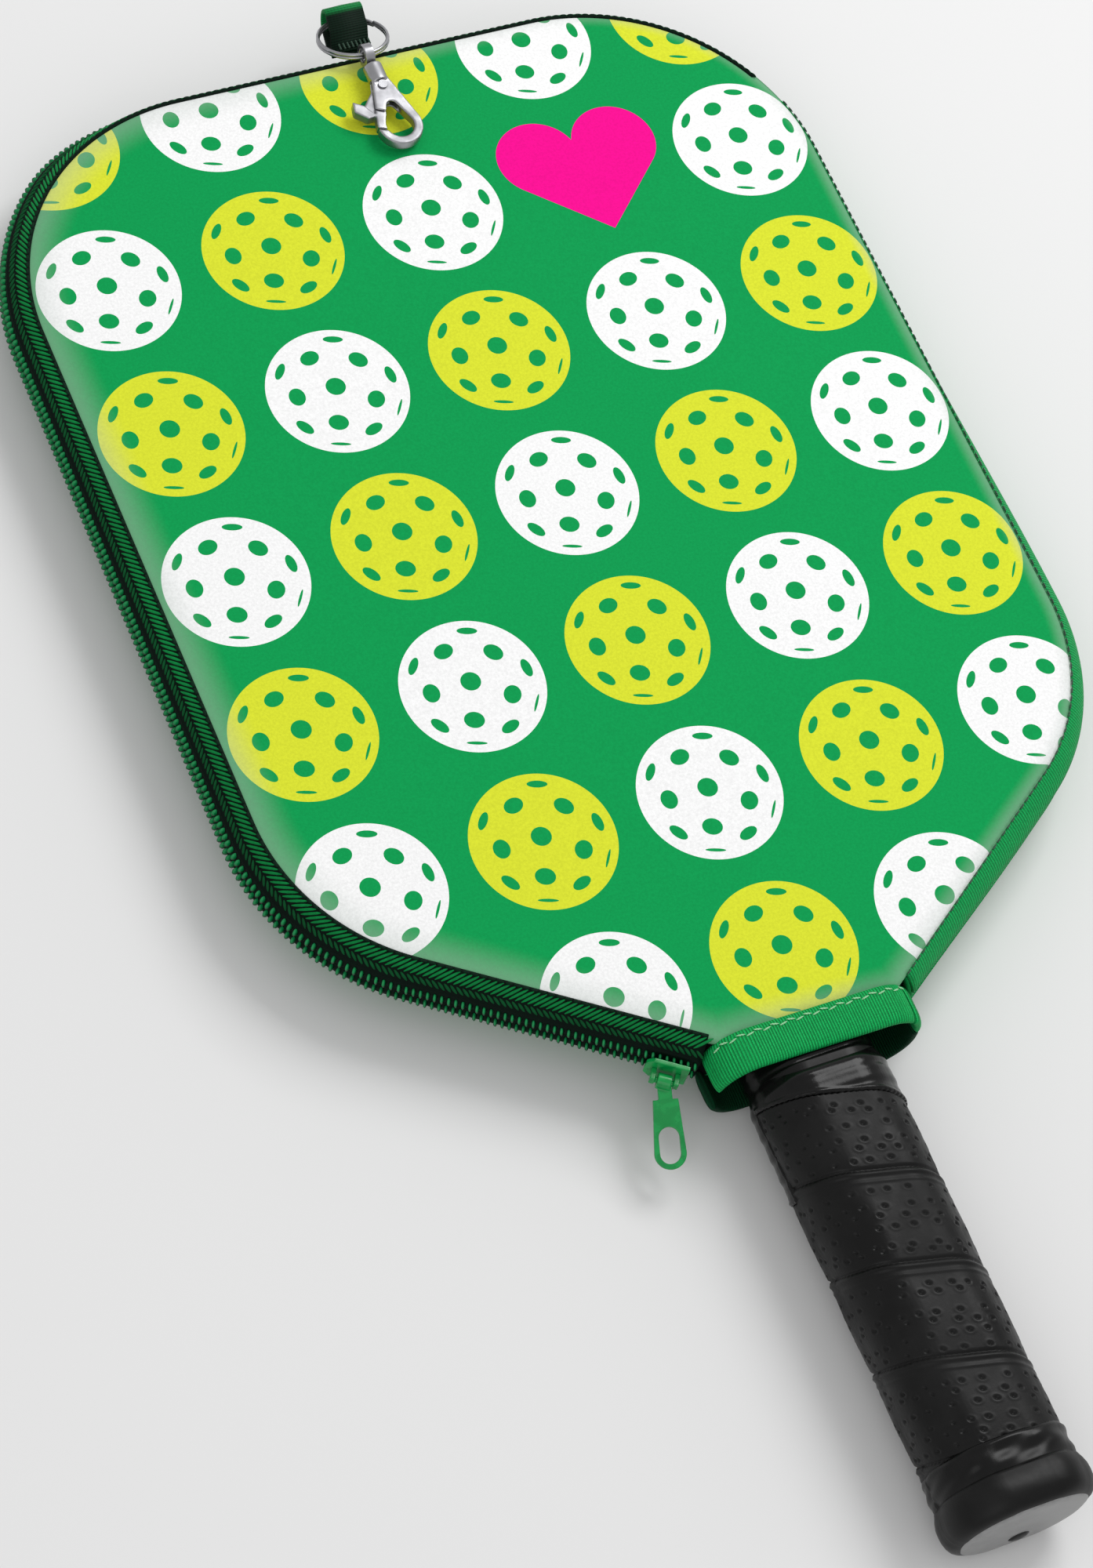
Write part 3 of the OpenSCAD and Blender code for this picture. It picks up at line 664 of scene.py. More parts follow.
MAT = {
    "print": printed_fabric(),
    "back": knit("back_knit", PANEL_GREEN),
    "lining": knit("lining_knit", (0.012, 0.012, 0.013), roughness=0.85),
    "gusset": knit("gusset_knit", GREEN, roughness=0.6, scale=1300, depth=0.08),
    "ribbed": ribbed("ribbed_elastic", (0.006, 0.43, 0.10), (0.003, 0.24, 0.055)),
    "shaded_ribbed": ribbed("shaded_elastic", (0.002, 0.05, 0.018), (0.001, 0.02, 0.007)),
    "binding": ribbed("ribbed_binding", (0.005, 0.38, 0.09), (0.003, 0.25, 0.06), pitch=0.8),
    "dark_twill": twill_tape("dark_tape", (0.002, 0.10, 0.028), (0.001, 0.02, 0.007)),
    "coil": coil_nylon(),
    # painted shade: a near-black sheet for the front tape's base and the coil cords, where shade falls
    # between the threads and between the turns
    "shade": knit("tape_shade", (0.0005, 0.006, 0.003)),
    "thread": knit("twill_thread", (0.003, 0.22, 0.05)),
    # painted shade: the return column is a darker copy of the twill thread, where the tape turns down
    # towards the coil
    "shaded_thread": knit("twill_return", (0.002, 0.075, 0.02)),
    # painted shade: the near-black seam cord stands for the shade in the crease where the panel meets the
    # tape
    "seam_crease_shade": knit("seam_shade", (0.002, 0.018, 0.008)),
    "seam": sewing_thread("seam_thread", (0.002, 0.05, 0.02)),
    "pale": sewing_thread("pale_thread", PALE_THREAD),
    "webbing": webbing(),
    "paint": painted("green_enamel", (0.002, 0.24, 0.05)),
    "nickel": metal("nickel", (0.40, 0.40, 0.42)),
    "steel": metal("spring_wire", (0.45, 0.45, 0.47)),
    "core": plastic("honeycomb_core", (0.75, 0.75, 0.75)),
    "face": plastic("paddle_face", (0.05, 0.052, 0.06), roughness=0.55, grain=1200, depth=0.12),
    "guard": plastic("guard_plastic", BLACK, roughness=0.35),
    "foam": plastic("handle_foam", (0.35, 0.26, 0.14), roughness=0.8),
    "grip": rubbery("grip_rubber", RUBBER, 0.42, grain=0.2),
    "tape": rubbery("tape_film", RUBBER, 0.3),
    "collar": rubbery("collar_rubber", RUBBER, 0.2, grain=0.2),
    "cap": rubbery("cap_rubber", RUBBER, 0.38),
    "cap_face": plastic("cap_face_plastic", (0.19, 0.19, 0.19)),
}

# ------------ padded panels
CROWN = 0.9  # how far the middle of a panel stands above its edge
# a rim's shape: distance from the edge, and drop below the face
FRONT_RIM = ((0, 1.7), (0.08, 1.2), (0.35, 0.75), (0.9, 0.4), (1.8, 0.2), (3.2, 0.08), (5, 0.02), (7.5, 0))
BACK_RIM = ((0, 3.0), (0.1, 2.3), (0.45, 1.5), (1.1, 0.8), (2.0, 0.35), (3.2, 0.1), (5, 0.02), (7.5, 0))
GRID = 4.5  # spacing of the points inside the rim
FOLD_GRID = 1.5  # their spacing across the fold
HELD_RIM = 1.0  # the cloth is held this far in from its edge
CLOTH_FRAMES = 20
CLOTH = {
    "quality": 6,
    "mass": 0.3,
    "tension_stiffness": 25,
    "compression_stiffness": 25,
    "shear_stiffness": 15,
    "bending_stiffness": 8,
    "use_pressure": True,
    "uniform_pressure_force": -4,
    "vertex_group_mass": "held",
}
FOLD_SPAN = (-2.5, 9.0)  # the fabric that bends, from the fixed side of the fold to the cover's

fold = JOINTS["cover_open"]
fold_at = Vector(fold["pos_m"])
fold_along = Vector(fold["axis"]).normalized()
fold_side = Vector((-fold_along.y, fold_along.x, 0))  # points to the cover's side of the fold


def inside(points, polygon, margin):
    """Which points lie inside a polygon and away from its edge."""
    a, b = polygon, np.roll(polygon, -1, axis=0)
    x, y = points[:, :1], points[:, 1:]
    crosses = (a[:, 1] > y) != (b[:, 1] > y)
    rise = np.where(b[:, 1] == a[:, 1], 1e-9, b[:, 1] - a[:, 1])
    at_x = a[:, 0] + (y - a[:, 1]) / rise * (b[:, 0] - a[:, 0])
    within = (crosses & (x < at_x)).sum(1) % 2 == 1
    return within & (np.hypot(x - a[:, 0], y - a[:, 1]).min(1) > margin)


def inner_points(ring):
    """A grid of points inside the rim, finer where the fabric bends, in rows along the fold."""
    start, end = FOLD_SPAN
    rows = [k * GRID for k in range(-50, 51)]
    rows = [v for v in rows if not start - FOLD_GRID < v < end + FOLD_GRID]
    rows += list(np.arange(start, end + FOLD_GRID / 2, FOLD_GRID))
    along = np.arange(-400, 400, GRID)
    origin = np.array(fold_at.xy) / MM
    grid = np.array([
        origin + u * np.array(fold_along.xy) + v * np.array(fold_side.xy)
        for k, v in enumerate(sorted(rows)) for u in along + (k % 2) * GRID / 2
    ])
    return grid[inside(grid, ring, 0.6 * GRID)]


def panel_net():
    """The flat net of a panel: points, faces, each point's distance from the edge, and the edge's count."""
    insets = [inset for inset, _ in FRONT_RIM]
    rings = [whole_outline(inset) for inset in insets]
    inner = rings[-1]
    count = len(inner)
    cloud = [Vector(p) for p in (*inner, *inner_points(inner))]
    loop = [(j, (j + 1) % count) for j in range(count)]
    flat, _, triangles, _, _, _ = delaunay_2d_cdt(cloud, loop, [], 1, 1e-6)
    first = (len(rings) - 1) * count
    points = np.concatenate([*rings[:-1], np.array([list(p) for p in flat])])
    faces = ring_faces(len(rings), count)
    faces += [tuple(first + i for i in triangle) for triangle in triangles]
    far = [insets[-1] + np.hypot(*(inner - point).T).min() for point in points[first:]]
    return points, faces, np.concatenate([np.repeat(insets[:-1], count), far]), count


def crown_by_cloth(points, faces, edge):
    """The crown that a sheet takes when it is held at its edge and blown up from below, 0 to 1."""
    flat = np.column_stack([points, np.zeros(len(points))])
    obj = new_object("cloth_sheet", flat, faces, MAT["lining"])
    held = obj.vertex_groups.new(name="held")
    held.add([int(k) for k in np.nonzero(edge < HELD_RIM)[0]], 1.0, "REPLACE")
    cloth = obj.modifiers.new("cloth", "CLOTH")
    for key, value in CLOTH.items():
        setattr(cloth.settings, key, value)
    cloth.settings.effector_weights.gravity = 0
    cloth.collision_settings.use_collision = False
    scene = bpy.context.scene
    for step in range(1, CLOTH_FRAMES + 1):
        scene.frame_set(step)
    solved = obj.evaluated_get(bpy.context.evaluated_depsgraph_get()).to_mesh()
    rise = np.array([abs(v.co.z) for v in solved.vertices])
    scene.frame_set(1)
    bpy.data.objects.remove(obj)
    return rise / max(rise.max(), 1e-9)


def padded_panel(name, net, crown, rim, face_z, under_z, face_material):
    """A padded panel with a crowned face, a round edge and a flat lining."""
    points, faces, edge, count = net
    up = math.copysign(1, face_z - under_z)
    drop = np.interp(edge, *zip(*rim))
    face = np.column_stack([points, face_z - up * (drop + CROWN * (1 - crown) * (edge > 0))])
    lining = np.column_stack([points, np.full(len(points), under_z)])
    total = len(points)
    side = [(j, (j + 1) % count, total + (j + 1) % count, total + j) for j in range(count)]
    under = [tuple(total + i for i in reversed(face)) for face in faces]
    obj = new_object(name, np.concatenate([face, lining]), faces + side + under, face_material)
    obj.data.materials.append(MAT["lining"])
    obj.data.polygons.foreach_set("material_index", [0] * (len(faces) + count) + [1] * len(under))
    attribute = obj.data.attributes.new("edge", "FLOAT", "POINT")
    attribute.data.foreach_set("value", np.tile(edge, 2).astype(np.float32))
    return outward_normals(obj)


def blend_over_fold(obj):
    """Keeps where the points of a piece that lies across the fold are at rest, for its shader, and bakes
    its transform into its mesh.
    """
    flat = np.zeros(len(obj.data.vertices) * 3, np.float32)
    obj.data.vertices.foreach_get("co", flat)
    rest = obj.data.attributes.new("rest", "FLOAT_VECTOR", "POINT")
    rest.data.foreach_set("vector", flat)
    start, end = (fold_at + fold_side * at * MM for at in FOLD_SPAN)
    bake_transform(obj)
    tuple(start)
    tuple(end)


def add_panels():
    net = panel_net()
    points, faces, edge, _ = net
    crown = crown_by_cloth(points, faces, edge)
    front = padded_panel("printed_front", net, crown, FRONT_RIM, CASE_T, CASE_T - PANEL_T, MAT["print"])
    blend_over_fold(front)
    finish_piece(front, None, "printed_neoprene", "front_panel", "front_panel_fixed")
    back = padded_panel("padded_back", net, crown, BACK_RIM, 0, PANEL_T, MAT["back"])
    finish_piece(back, "case", "back_neoprene", "back_panel")


# ------------ zipper
COIL_PITCH = 1.66
COIL_BEAD = (0.5, 1.2, 1.1)  # half sizes of one turn of coil
COIL_LEAN = 0.3
COIL_OUT = ZIP_OUT + 0.3
TAPE_T = 0.8
TAPE_HIGH = (-0.7, CASE_T - 0.95)  # the front tape's sewn edge, as offset and height
TAPE_LOW_Z = ZIP_Z + ROW_HIGH + 0.5
BACK_TAPE_HIGH_Z = ZIP_Z - ROW_HIGH + 0.4
BACK_TAPE_LOW = (0.3, PANEL_T - 0.6)
CORD_H = 3.0  # the cord inside a row of coil
CORD_T = 1.4
TOP_ZIP_OUT = 1.2  # the zipper hides under the edge of the panel along the top
TOP_ZIP_A = 97.0  # where that part ends, as the direction of its outward normal
ZIP_TURN = 36.0  # how far round the corner the zipper comes out again
THREAD_PITCH = 1.45
THREAD_W = 0.38
THREAD_T = 0.42
THREAD_OVERLAP = 1.08  # a thread's length against the width of its column
SEAM_PITCH = 2.0


def zip_out(normal_a):
    """How far the zipper stands out of the panel's edge, by the direction in which the edge faces."""
    return ease(TOP_ZIP_OUT, ZIP_OUT, (normal_a - TOP_ZIP_A) / ZIP_TURN)


def moved_in(path):
    """The path, shifted inwards where the zipper hides under the edge."""
    return np.array([[*((x, y) + polar(a, zip_out(a) - ZIP_OUT)), a] for x, y, a in path])


def tape_point(normal_a, share):
    """A point across the front tape, from its sewn edge (0) to the coil (1), as offset and height."""
    high, low = np.array(TAPE_HIGH), np.array([zip_out(normal_a) - 0.2, TAPE_LOW_Z])
    return high + (low - high) * share


def slanted_threads(name, path, from_share, to_share, slant, material):
    """A column of twill threads across a part of the front tape. slant is their reach along the path."""
    places = []
    for x, y, normal_a in resample(path, THREAD_PITCH):
        high, low = tape_point(normal_a, from_share), tape_point(normal_a, to_share)
        down, middle = low - high, (low + high) / 2
        outward, forward = directions(normal_a)
        across = outward * down[0] + np.array([0, 0, down[1]])
        face = unit(np.cross(forward, across))
        face *= math.copysign(1, face[2])
        thread = unit(across + forward * slant)
        centre = np.array([x, y, middle[1]]) + outward * middle[0] + 0.05 * face
        places.append((centre, thread, np.cross(face, thread), face))
    length = THREAD_OVERLAP * math.hypot(*down, slant)
    return beads(name, places, (length / 2, THREAD_W, THREAD_T), material)


def add_tapes(front_path, back_path):
    def front_strip(row):
        return rounded_strip(tape_point(row[2], 1.0), tape_point(row[2], 0.0), TAPE_T)

    def back_strip(row):
        return rounded_strip(BACK_TAPE_LOW, (zip_out(row[2]), BACK_TAPE_HIGH_Z), TAPE_T)

    # the tape's base strip is painted near black, the shade between its threads and towards the coil
    tape = sweep("front_tape", front_path, front_strip, MAT["shade"])
    finish_piece(tape, "cover", "twill_tape", "front_zipper_tape")
    # the second column of threads is painted darker, as shade where the tape turns down towards the coil
    for name, from_share, to_share, slant, material in (("tape_threads", 0.0, 0.6, 4.2, "thread"),
                                                        ("tape_return", 0.6, 0.88, -2.2, "shaded_thread")):
        column = slanted_threads(name, front_path, from_share, to_share, slant, MAT[material])
        finish_piece(column, "cover", "twill_tape")
    tape = sweep("back_tape", back_path, back_strip, MAT["dark_twill"])
    finish_piece(tape, "case", "twill_tape", "back_zipper_tape")
    # the seam cord is painted near black, the shade in the crease between the panel and the tape
    places = edge_places(front_path, SEAM_PITCH, *TAPE_HIGH)
    seam = beads("seam_cord", places, (0.98, 0.35, 0.42), MAT["seam_crease_shade"])
    finish_piece(seam, "cover", "green_thread", "front_seam_piping")


def add_coil(name, path, body, height):
    path = moved_in(path)
    places = edge_places(path, COIL_PITCH, COIL_OUT, height, COIL_LEAN)
    row = beads(f"{name}_coil", places, COIL_BEAD, MAT["coil"])
    finish_piece(row, body, "coil_thread", f"{name}_zipper_coil")
    cord = rounded_strip((ZIP_OUT, height - CORD_H / 2), (ZIP_OUT, height + CORD_H / 2), CORD_T)
    # the cord is painted near black, as the shade between the coil's turns
    core = sweep(f"{name}_coil_cord", path, lambda row: cord, MAT["shade"])
    finish_piece(core, body, "coil_thread")


def add_zipper():
    front_path = zip_path(FRONT_ZIP_END_A)
    back_path = zip_path(ZIP_END_A)
    add_tapes(front_path, back_path)
    row_middle = ROW_LOW + COIL_H / 2
    add_coil("front", front_path, "cover", ZIP_Z + row_middle)
    add_coil("back", back_path, "case", ZIP_Z - row_middle)

    x, y, normal_a = back_path[-1]
    outward, forward = directions(normal_a)
    stop_at = np.array([x, y, ZIP_Z]) + outward * TOP_ZIP_OUT
    stop = beads("end_stop", [(stop_at, forward, outward, (0, 0, 1.0))], (0.9, 1.1, 2.6), MAT["coil"])
    finish_piece(stop, "case", "coil_thread", "zipper_end_stop")


# ------------ gusset and its bindings
BULGE_GONE_Y = 65.0  # above this the gusset stands out only a little
BULGE_LEN = 120.0  # over this length it gets there
LOW_BULGE_LEN = 35.0  # and over this one near the neck
BINDING_SPAN = (1.6, 7.2)  # how far the bindings reach, from the face of each panel
BINDING_T = 0.75
BINDING_STITCH = 2.3  # spacing of the stitches that show along the front binding
STITCH_DEPTH = 1.4  # below the front panel's face


def bulge_at(y):
    """How far the gusset stands out: fullest at the lower corner, and tucked in towards both ends."""
    above_neck = ease(ZIP_OUT, GUSSET_BULGE, (y - NECK_Y) / LOW_BULGE_LEN)
    below_top = ease(TOP_ZIP_OUT + 0.5, GUSSET_BULGE, (BULGE_GONE_Y - y) / BULGE_LEN)
    return min(above_neck, below_top)


def add_gusset():
    path = gusset_path()

    def wall(inset, thick, low, high, count):
        return lambda row: wall_profile(bulge_at(row[1]), inset, thick, low, high, count)

    foot = PANEL_T - 0.4
    gusset = sweep("gusset", path, wall(0.7, 2.0, foot, CASE_T - foot, 15), MAT["gusset"])
    finish_piece(gusset, "case", "gusset_fabric", "side_gusset")
    near, far = BINDING_SPAN
    for side, low, high in (("front", CASE_T - far, CASE_T - near), ("back", near, far)):
        strip = sweep(f"{side}_binding", path, wall(0.0, BINDING_T, low, high, 8), MAT["binding"])
        finish_piece(strip, "case", "ribbed_binding", f"gusset_{side}_binding")
    places = edge_places(path, BINDING_STITCH, 0.12, CASE_T - STITCH_DEPTH)
    row = beads("binding_stitches", places, (0.95, 0.2, 0.24), MAT["seam"])
    finish_piece(row, "case", "green_thread")


# ------------ neck bands
BAND_LEN = 10.0
BAND_HIGH_Y = NECK_Y + 0.9
BAND_RISE = 1.5  # how far it stands off the panels' faces
BAND_W = 54.0
BAND_H = CASE_T + 2 * BAND_RISE
BAND_FLAT = 1.5  # half of the straight stretch at its left and right
BAND_T = 2.0
BAND_PUFF = 0.35
BAND_END = 1.2  # its ends are rounded off over this length
BAND_SECTION = 22  # points round a section
RIB_PITCH = 0.7
RIB_H = 0.09
STITCHES = 24
FIRST_STITCH = 0.07  # as shares of the way round the neck
STITCH_SHARE = 0.0152
STITCH_RISE = 0.42


def band_path(spacing):
    """Rows [x, z, outward direction] round the neck, from its right over the front, and their distances."""
    radius = BAND_H / 2 - BAND_FLAT
    x, z = BAND_W / 2 - radius, BAND_FLAT
    rows = []
    for quarter, corner in enumerate(((x, z), (-x, z), (-x, -z), (x, -z))):
        rows += [[*(corner + polar(a, radius)), a] for a in np.linspace(90, 180, 20) + 90 * (quarter - 1)]
    rows = np.array([*rows, [*rows[0][:2], 360]])
    total = lengths(rows[:, :2])[-1]
    at = np.linspace(0, total, round(total / spacing) + 1)
    return rows_at(rows, at), at


def band_section(rib, close):
    """Points [y, offset] round a section of the band, which is puffed and has square edges."""
    for k in range(BAND_SECTION):
        cosine, sine = polar(360 * k / BAND_SECTION)
        flat = math.copysign(abs(cosine) ** 0.55, cosine)
        deep = math.copysign(abs(sine) ** 0.7, sine)
        puff = (BAND_T + BAND_PUFF * (1 + sine)) / 2 * close
        yield BAND_HIGH_Y - BAND_LEN / 2 * (1 - flat), deep * (puff + rib * (deep > 0)) - BAND_T / 2


def band_piece(name, from_share, to_share, material):
    """Part of the elastic band round the neck, with real ribs across it."""
    path, at = band_path(RIB_PITCH / 4)
    share = at / at[-1]
    keep = (share >= from_share) & (share <= to_share)
    rings = []
    for (x, z, a), s, where in zip(path[keep], at[keep], share[keep]):
        out = polar(a)
        rib = RIB_H * abs(math.sin(math.pi * s / RIB_PITCH))
        end = min(where - from_share, to_share - where) * at[-1]
        close = math.sqrt(1 - (1 - min(1.0, end / BAND_END)) ** 2) * 0.9 + 0.1
        rings.append([[x + out[0] * n, y, MID_Z + z + out[1] * n] for y, n in band_section(rib, close)])
    return loft(name, rings, material)


def band_stitches():
    """Pale running stitches along the front band's upper edge, turned a little this way and that."""
    path, at = band_path(0.5)
    places = []
    for k in range(STITCHES):
        where = (FIRST_STITCH + k * STITCH_SHARE) * at[-1]
        x, z, a = (np.interp(where, at, column) for column in path.T)
        out = np.array([polar(a)[0], 0, polar(a)[1]])
        turn = (-1) ** k
        slant = unit(np.array([-out[2], 0.22 * turn, out[0]]))
        centre = np.array([x, NECK_Y - 0.9 + 0.25 * turn, MID_Z + z]) + out * STITCH_RISE
        places.append((centre, slant, np.cross(out, slant), out))
    return beads("band_stitches", places, (1.1, 0.22, 0.2), MAT["pale"])


def add_neck():
    front = band_piece("front_band", 0.062, 0.463, MAT["ribbed"])
    finish_piece(front, "cover", "ribbed_binding", "neck_band_front")
    lower = band_piece("back_band", 0.537, 0.999, MAT["shaded_ribbed"])
    side = band_piece("side_band", 0.001, 0.055, MAT["ribbed"])
    finish_piece(lower, "case", "ribbed_binding", "neck_band_back")
    finish_piece(side, "case", "ribbed_binding")
    finish_piece(band_stitches(), "cover", "pale_thread", "neck_band_stitching")


# ------------ loop and split ring
WEBBING_T = 1.2
LOOP_LEAN = 0.17  # to the right, against its length
WIRE_R = 0.47
TURN_APART = 1.86 * WIRE_R  # between the middles of the ring's two turns
RING_START_A = 30  # where the wire's ends lie
TURN_CHANGE_A = 14  # how far round the wire goes while it changes turns


def add_loop():
    """A strip of webbing folded back on itself, leaning a little, with rounded edges."""
    low, high = box("hanging_loop")
    middle = (low + high) / 2
    thick = high.z - low.z
    fold_r = thick / 2 - WEBBING_T / 2
    tip_y = high.y - thick / 2
    legs = ((0, 0.6), (2.2, 0.7), (4.8, fold_r))
    spine = [[low.y + up, middle.z - apart, -90] for up, apart in legs]
    spine += [[*(polar(a, fold_r) + [tip_y, middle.z]), a] for a in range(-90, 91, 9)]
    spine += [[low.y + up, middle.z + apart, 90] for up, apart in reversed(legs)]
    half = (high.x - low.x) / 2
    section = [[0.2 - half, 0.5], [0, 0.62], [half - 0.2, 0.5], [half, 0], [half - 0.2, -0.5], [0, -0.58],
               [0.2 - half, -0.5], [-half, 0]]
    rings = []
    for y, z, a in spine:
        out = polar(a)
        x = middle.x + LOOP_LEAN * (y - (low.y + tip_y) / 2 - 2)
        rings.append([[x + u, y + n * out[0], z + n * out[1]] for u, n in section])
    loop = loft("webbing_loop", rings, MAT["webbing"])
    finish_piece(loop, "cover", "webbing", "hanging_loop")


def add_ring():
    """Split ring: two close turns of one wire, which changes from one to the other on the right."""
    pivot, eye = (np.array(JOINTS[joint]["pos_m"]) / MM for joint in ("ring_swing", "clasp_swing"))
    centre = (pivot + eye) / 2
    radius = np.linalg.norm(pivot - eye) / 2
    along = unit(pivot - eye)
    across = np.array([1.0, 0, 0])
    normal = np.cross(across, along)
    rings = []
    for a in np.linspace(0, 2 * 360, 161):
        cosine, sine = polar(a + RING_START_A)
        way = across * cosine + along * sine
        spine = centre + way * radius + normal * TURN_APART / 2 * math.tanh((a - 360) / TURN_CHANGE_A)
        section = [polar(b, WIRE_R) for b in range(0, 360, 36)]
        rings.append([spine + way * x + normal * y for x, y in section])
    ring = loft("split_ring_wire", rings, MAT["nickel"])
    finish_piece(ring, "ring", "nickel", "split_ring")


# ------------ handle
grip_low, grip_high = box("grip_wrap")
collar_low, collar_high = box("grip_collar")
cap_low, cap_high = box("butt_cap")
GRIP_X = (grip_low.x + grip_high.x) / 2
GRIP_W = grip_high.x - grip_low.x
GRIP_T = grip_high.z - grip_low.z
GRIP_GIRTH = 105.0
SECTION_STEP = 0.33  # spacing of the points round a section
SOFTEN = 4.2  # the corners of a section are smoothed over this length
WRAP_PITCH = 23.3
FIRST_SEAM_Y = -179.2  # where the first overlap of two turns of the overgrip meets the left side
WRAP_RISE = 7.0  # the overgrip starts this far above its CAD node
PIT_PITCH = 5.0
PIT_ROWS = (5.6, 8.4, 12.0, 14.8, 18.4, 20.9)
COLLAR_OVER = 3.3  # the collar covers this much of the turn above the first seam
COLLAR_UNDER = 22.0  # it runs on this far under the overgrip
SWELL_Y = NECK_Y - BAND_LEN + 0.5
SWELL_LEN = 6.0  # the collar grows to the grip's size over this length, from there down
TAPE_LIP = 1.2  # the finishing tape starts this far above the overgrip's end
CAP_FACE_IN = 2.8  # the cap's end face is smaller than the cap by this, on each side


def octagon(width, thick, count):
    """Points [x, z], normals and distances round an eight-sided section, from the left side upwards."""
    bevel = 0.27 * thick
    x, z = width / 2, thick / 2
    corners = np.array([[-x, 0], [-x, z - bevel], [bevel - x, z], [x - bevel, z], [x, z - bevel],
                        [x, bevel - z], [x - bevel, -z], [bevel - x, -z], [-x, bevel - z], [-x, 0]])
    girth = lengths(corners)[-1]
    at = np.linspace(0, girth, count, endpoint=False)
    shifts = np.linspace(-SOFTEN, SOFTEN, 9)
    points = np.mean([rows_at(corners, np.mod(at + shift, girth)) for shift in shifts], 0)
    tangent = np.roll(points, -1, 0) - np.roll(points, 1, 0)
    tangent /= np.linalg.norm(tangent, axis=1)[:, None]
    return points, np.stack([-tangent[:, 1], tangent[:, 0]], 1), at


def handle_piece(name, rows, size_at, height_at, material):
    """A piece along the handle. size_at(y) gives its width and thickness, height_at(at, y) its relief."""
    count = round(lengths(octagon(GRIP_W, GRIP_T, 400)[0])[-1] / SECTION_STEP)
    rings = []
    for y in rows:
        points, normals, at = octagon(*size_at(y), count)
        moved = points + normals * height_at(at, y)[:, None]
        rings.append(np.column_stack([GRIP_X + moved[:, 0], np.full(count, y), MID_Z + moved[:, 1]]))
    return loft(name, rings, material)


def lump(distance, width):
    """A smooth bump of height 1 and a given half width."""
    return np.where(np.abs(distance) < width, 0.5 + 0.5 * np.cos(np.pi * distance / width), 0.0)


def wrap_turns(at, y):
    """How far a point lies below the start of its turn, and which turn that is."""
    below = FIRST_SEAM_Y + WRAP_PITCH - y - WRAP_PITCH * at / GRIP_GIRTH
    turn = np.floor(below / WRAP_PITCH)
    return below - turn * WRAP_PITCH, turn


def under_collar(into, turn):
    return (turn < 0) | ((turn == 0) & (into < COLLAR_OVER))


def grip_size(_):
    return GRIP_W, GRIP_T


def grip_height(at, y):
    """Height of the overgrip's face: overlapping turns with an edge ridge, and staggered pits."""
    into, turn = wrap_turns(at, y)
    face = -0.4 + 0.3 * np.sin(np.pi * into / WRAP_PITCH)
    face += 0.34 * lump(into - 0.9, 0.9) + 0.16 * lump(into - 2.9, 0.7)
    face -= 0.5 * lump(into - WRAP_PITCH + 0.2, 0.8)
    for row, depth in enumerate(PIT_ROWS):
        offset = PIT_PITCH * (0.5 * (row % 2) + 0.37 * turn)
        slide = np.mod(at + offset, PIT_PITCH) - PIT_PITCH / 2
        cell = np.floor((at + offset) / PIT_PITCH)
        wobble = 0.8 * np.sin(12.9 * cell + 4.1 * row + 2.3 * turn)
        stray = 0.9 * np.sin(7.7 * cell + 1.9 * row + 3.1 * turn)
        reach = np.hypot((slide - stray) / 0.85, (into - depth - wobble) / 0.62)
        face += 0.06 * lump(reach - 1.4, 0.6) - 0.55 * lump(reach, 1.0)
    return np.where(under_collar(into, turn), -1.3, face)


def collar_size(y):
    """From the collar's own size at the neck to the grip's."""
    share = (SWELL_Y - y) / SWELL_LEN
    thin_t = 2 * (MID_Z - PANEL_T) + 4.4
    return ease(collar_high.x - collar_low.x, GRIP_W, share), ease(thin_t, GRIP_T, share)


def collar_height(at, y):
    """Shallow wrinkles in the thin rubber collar, which dives under the grip at its slanted end."""
    into, turn = wrap_turns(at, y)
    wave = np.sin(1.15 * y + 0.9 * np.sin(at / 6.5)) + 0.5 * np.sin(2.3 * y + 1.3 * np.cos(at / 9.0) + 1.0)
    edge = 0.25 * lump(np.where(turn == 0, into - COLLAR_OVER, WRAP_PITCH) + 0.7, 0.7)
    return np.where(under_collar(into, turn), 0.1 * wave + edge, -1.6)


def tape_height(at, y):
    """Creases in the tape that holds the overgrip's end, which is thinner at its upper rim."""
    edge = 0.5 * lump(grip_low.y + TAPE_LIP - y, 0.9)
    return 0.3 - edge + 0.16 * np.sin(at / 3.1 + y) + 0.1 * np.sin(at / 1.9 - 1.6 * y)


def add_cap():
    """The butt cap: a lip, a body with a rounded end, and a paler end face with a small lump on it."""
    width, thick = cap_high.x - cap_low.x, cap_high.z - cap_low.z
    end_y = cap_low.y + 0.6
    length = cap_high.y - end_y
    lip = (width - GRIP_W) / 2 - 0.3
    shape = [(0, -lip), (0.8, -lip * 0.75), (1.8, -lip * 0.4), (3.2, -0.1), (4.6, 0), (length - 3.6, 0),
             (length - 2.2, -0.35), (length - 1.2, -0.95), (length - 0.5, -1.8), (length, -2.9)]
    rise = {cap_high.y - along: height for along, height in shape}
    cap = handle_piece("cap_body", rise, lambda y: (width, thick),
                       lambda at, y: rise[y] + 0.07 * np.sin(at / 4.7 + 0.8 * y), MAT["cap"])
    finish_piece(cap, "paddle", "cap_plastic", "butt_cap")
    inward = {end_y + 0.3: 0.3, end_y - 0.05: 0.0, end_y - 0.25: -0.5, end_y - 0.4: -3.0}
    face = handle_piece("cap_face", inward, lambda y: (width - 2 * CAP_FACE_IN, thick - 2 * CAP_FACE_IN),
                        lambda at, y: np.full(len(at), inward[y]), MAT["cap_face"])
    finish_piece(face, "paddle", "cap_plastic")
    bump_at = np.array([GRIP_X + 0.6, end_y - 0.1, MID_Z - 7.2])
    bump = beads("cap_bump", [(bump_at, *np.eye(3))], (2.9, 0.9, 2.6), MAT["cap"])
    finish_piece(bump, "paddle", "cap_plastic")


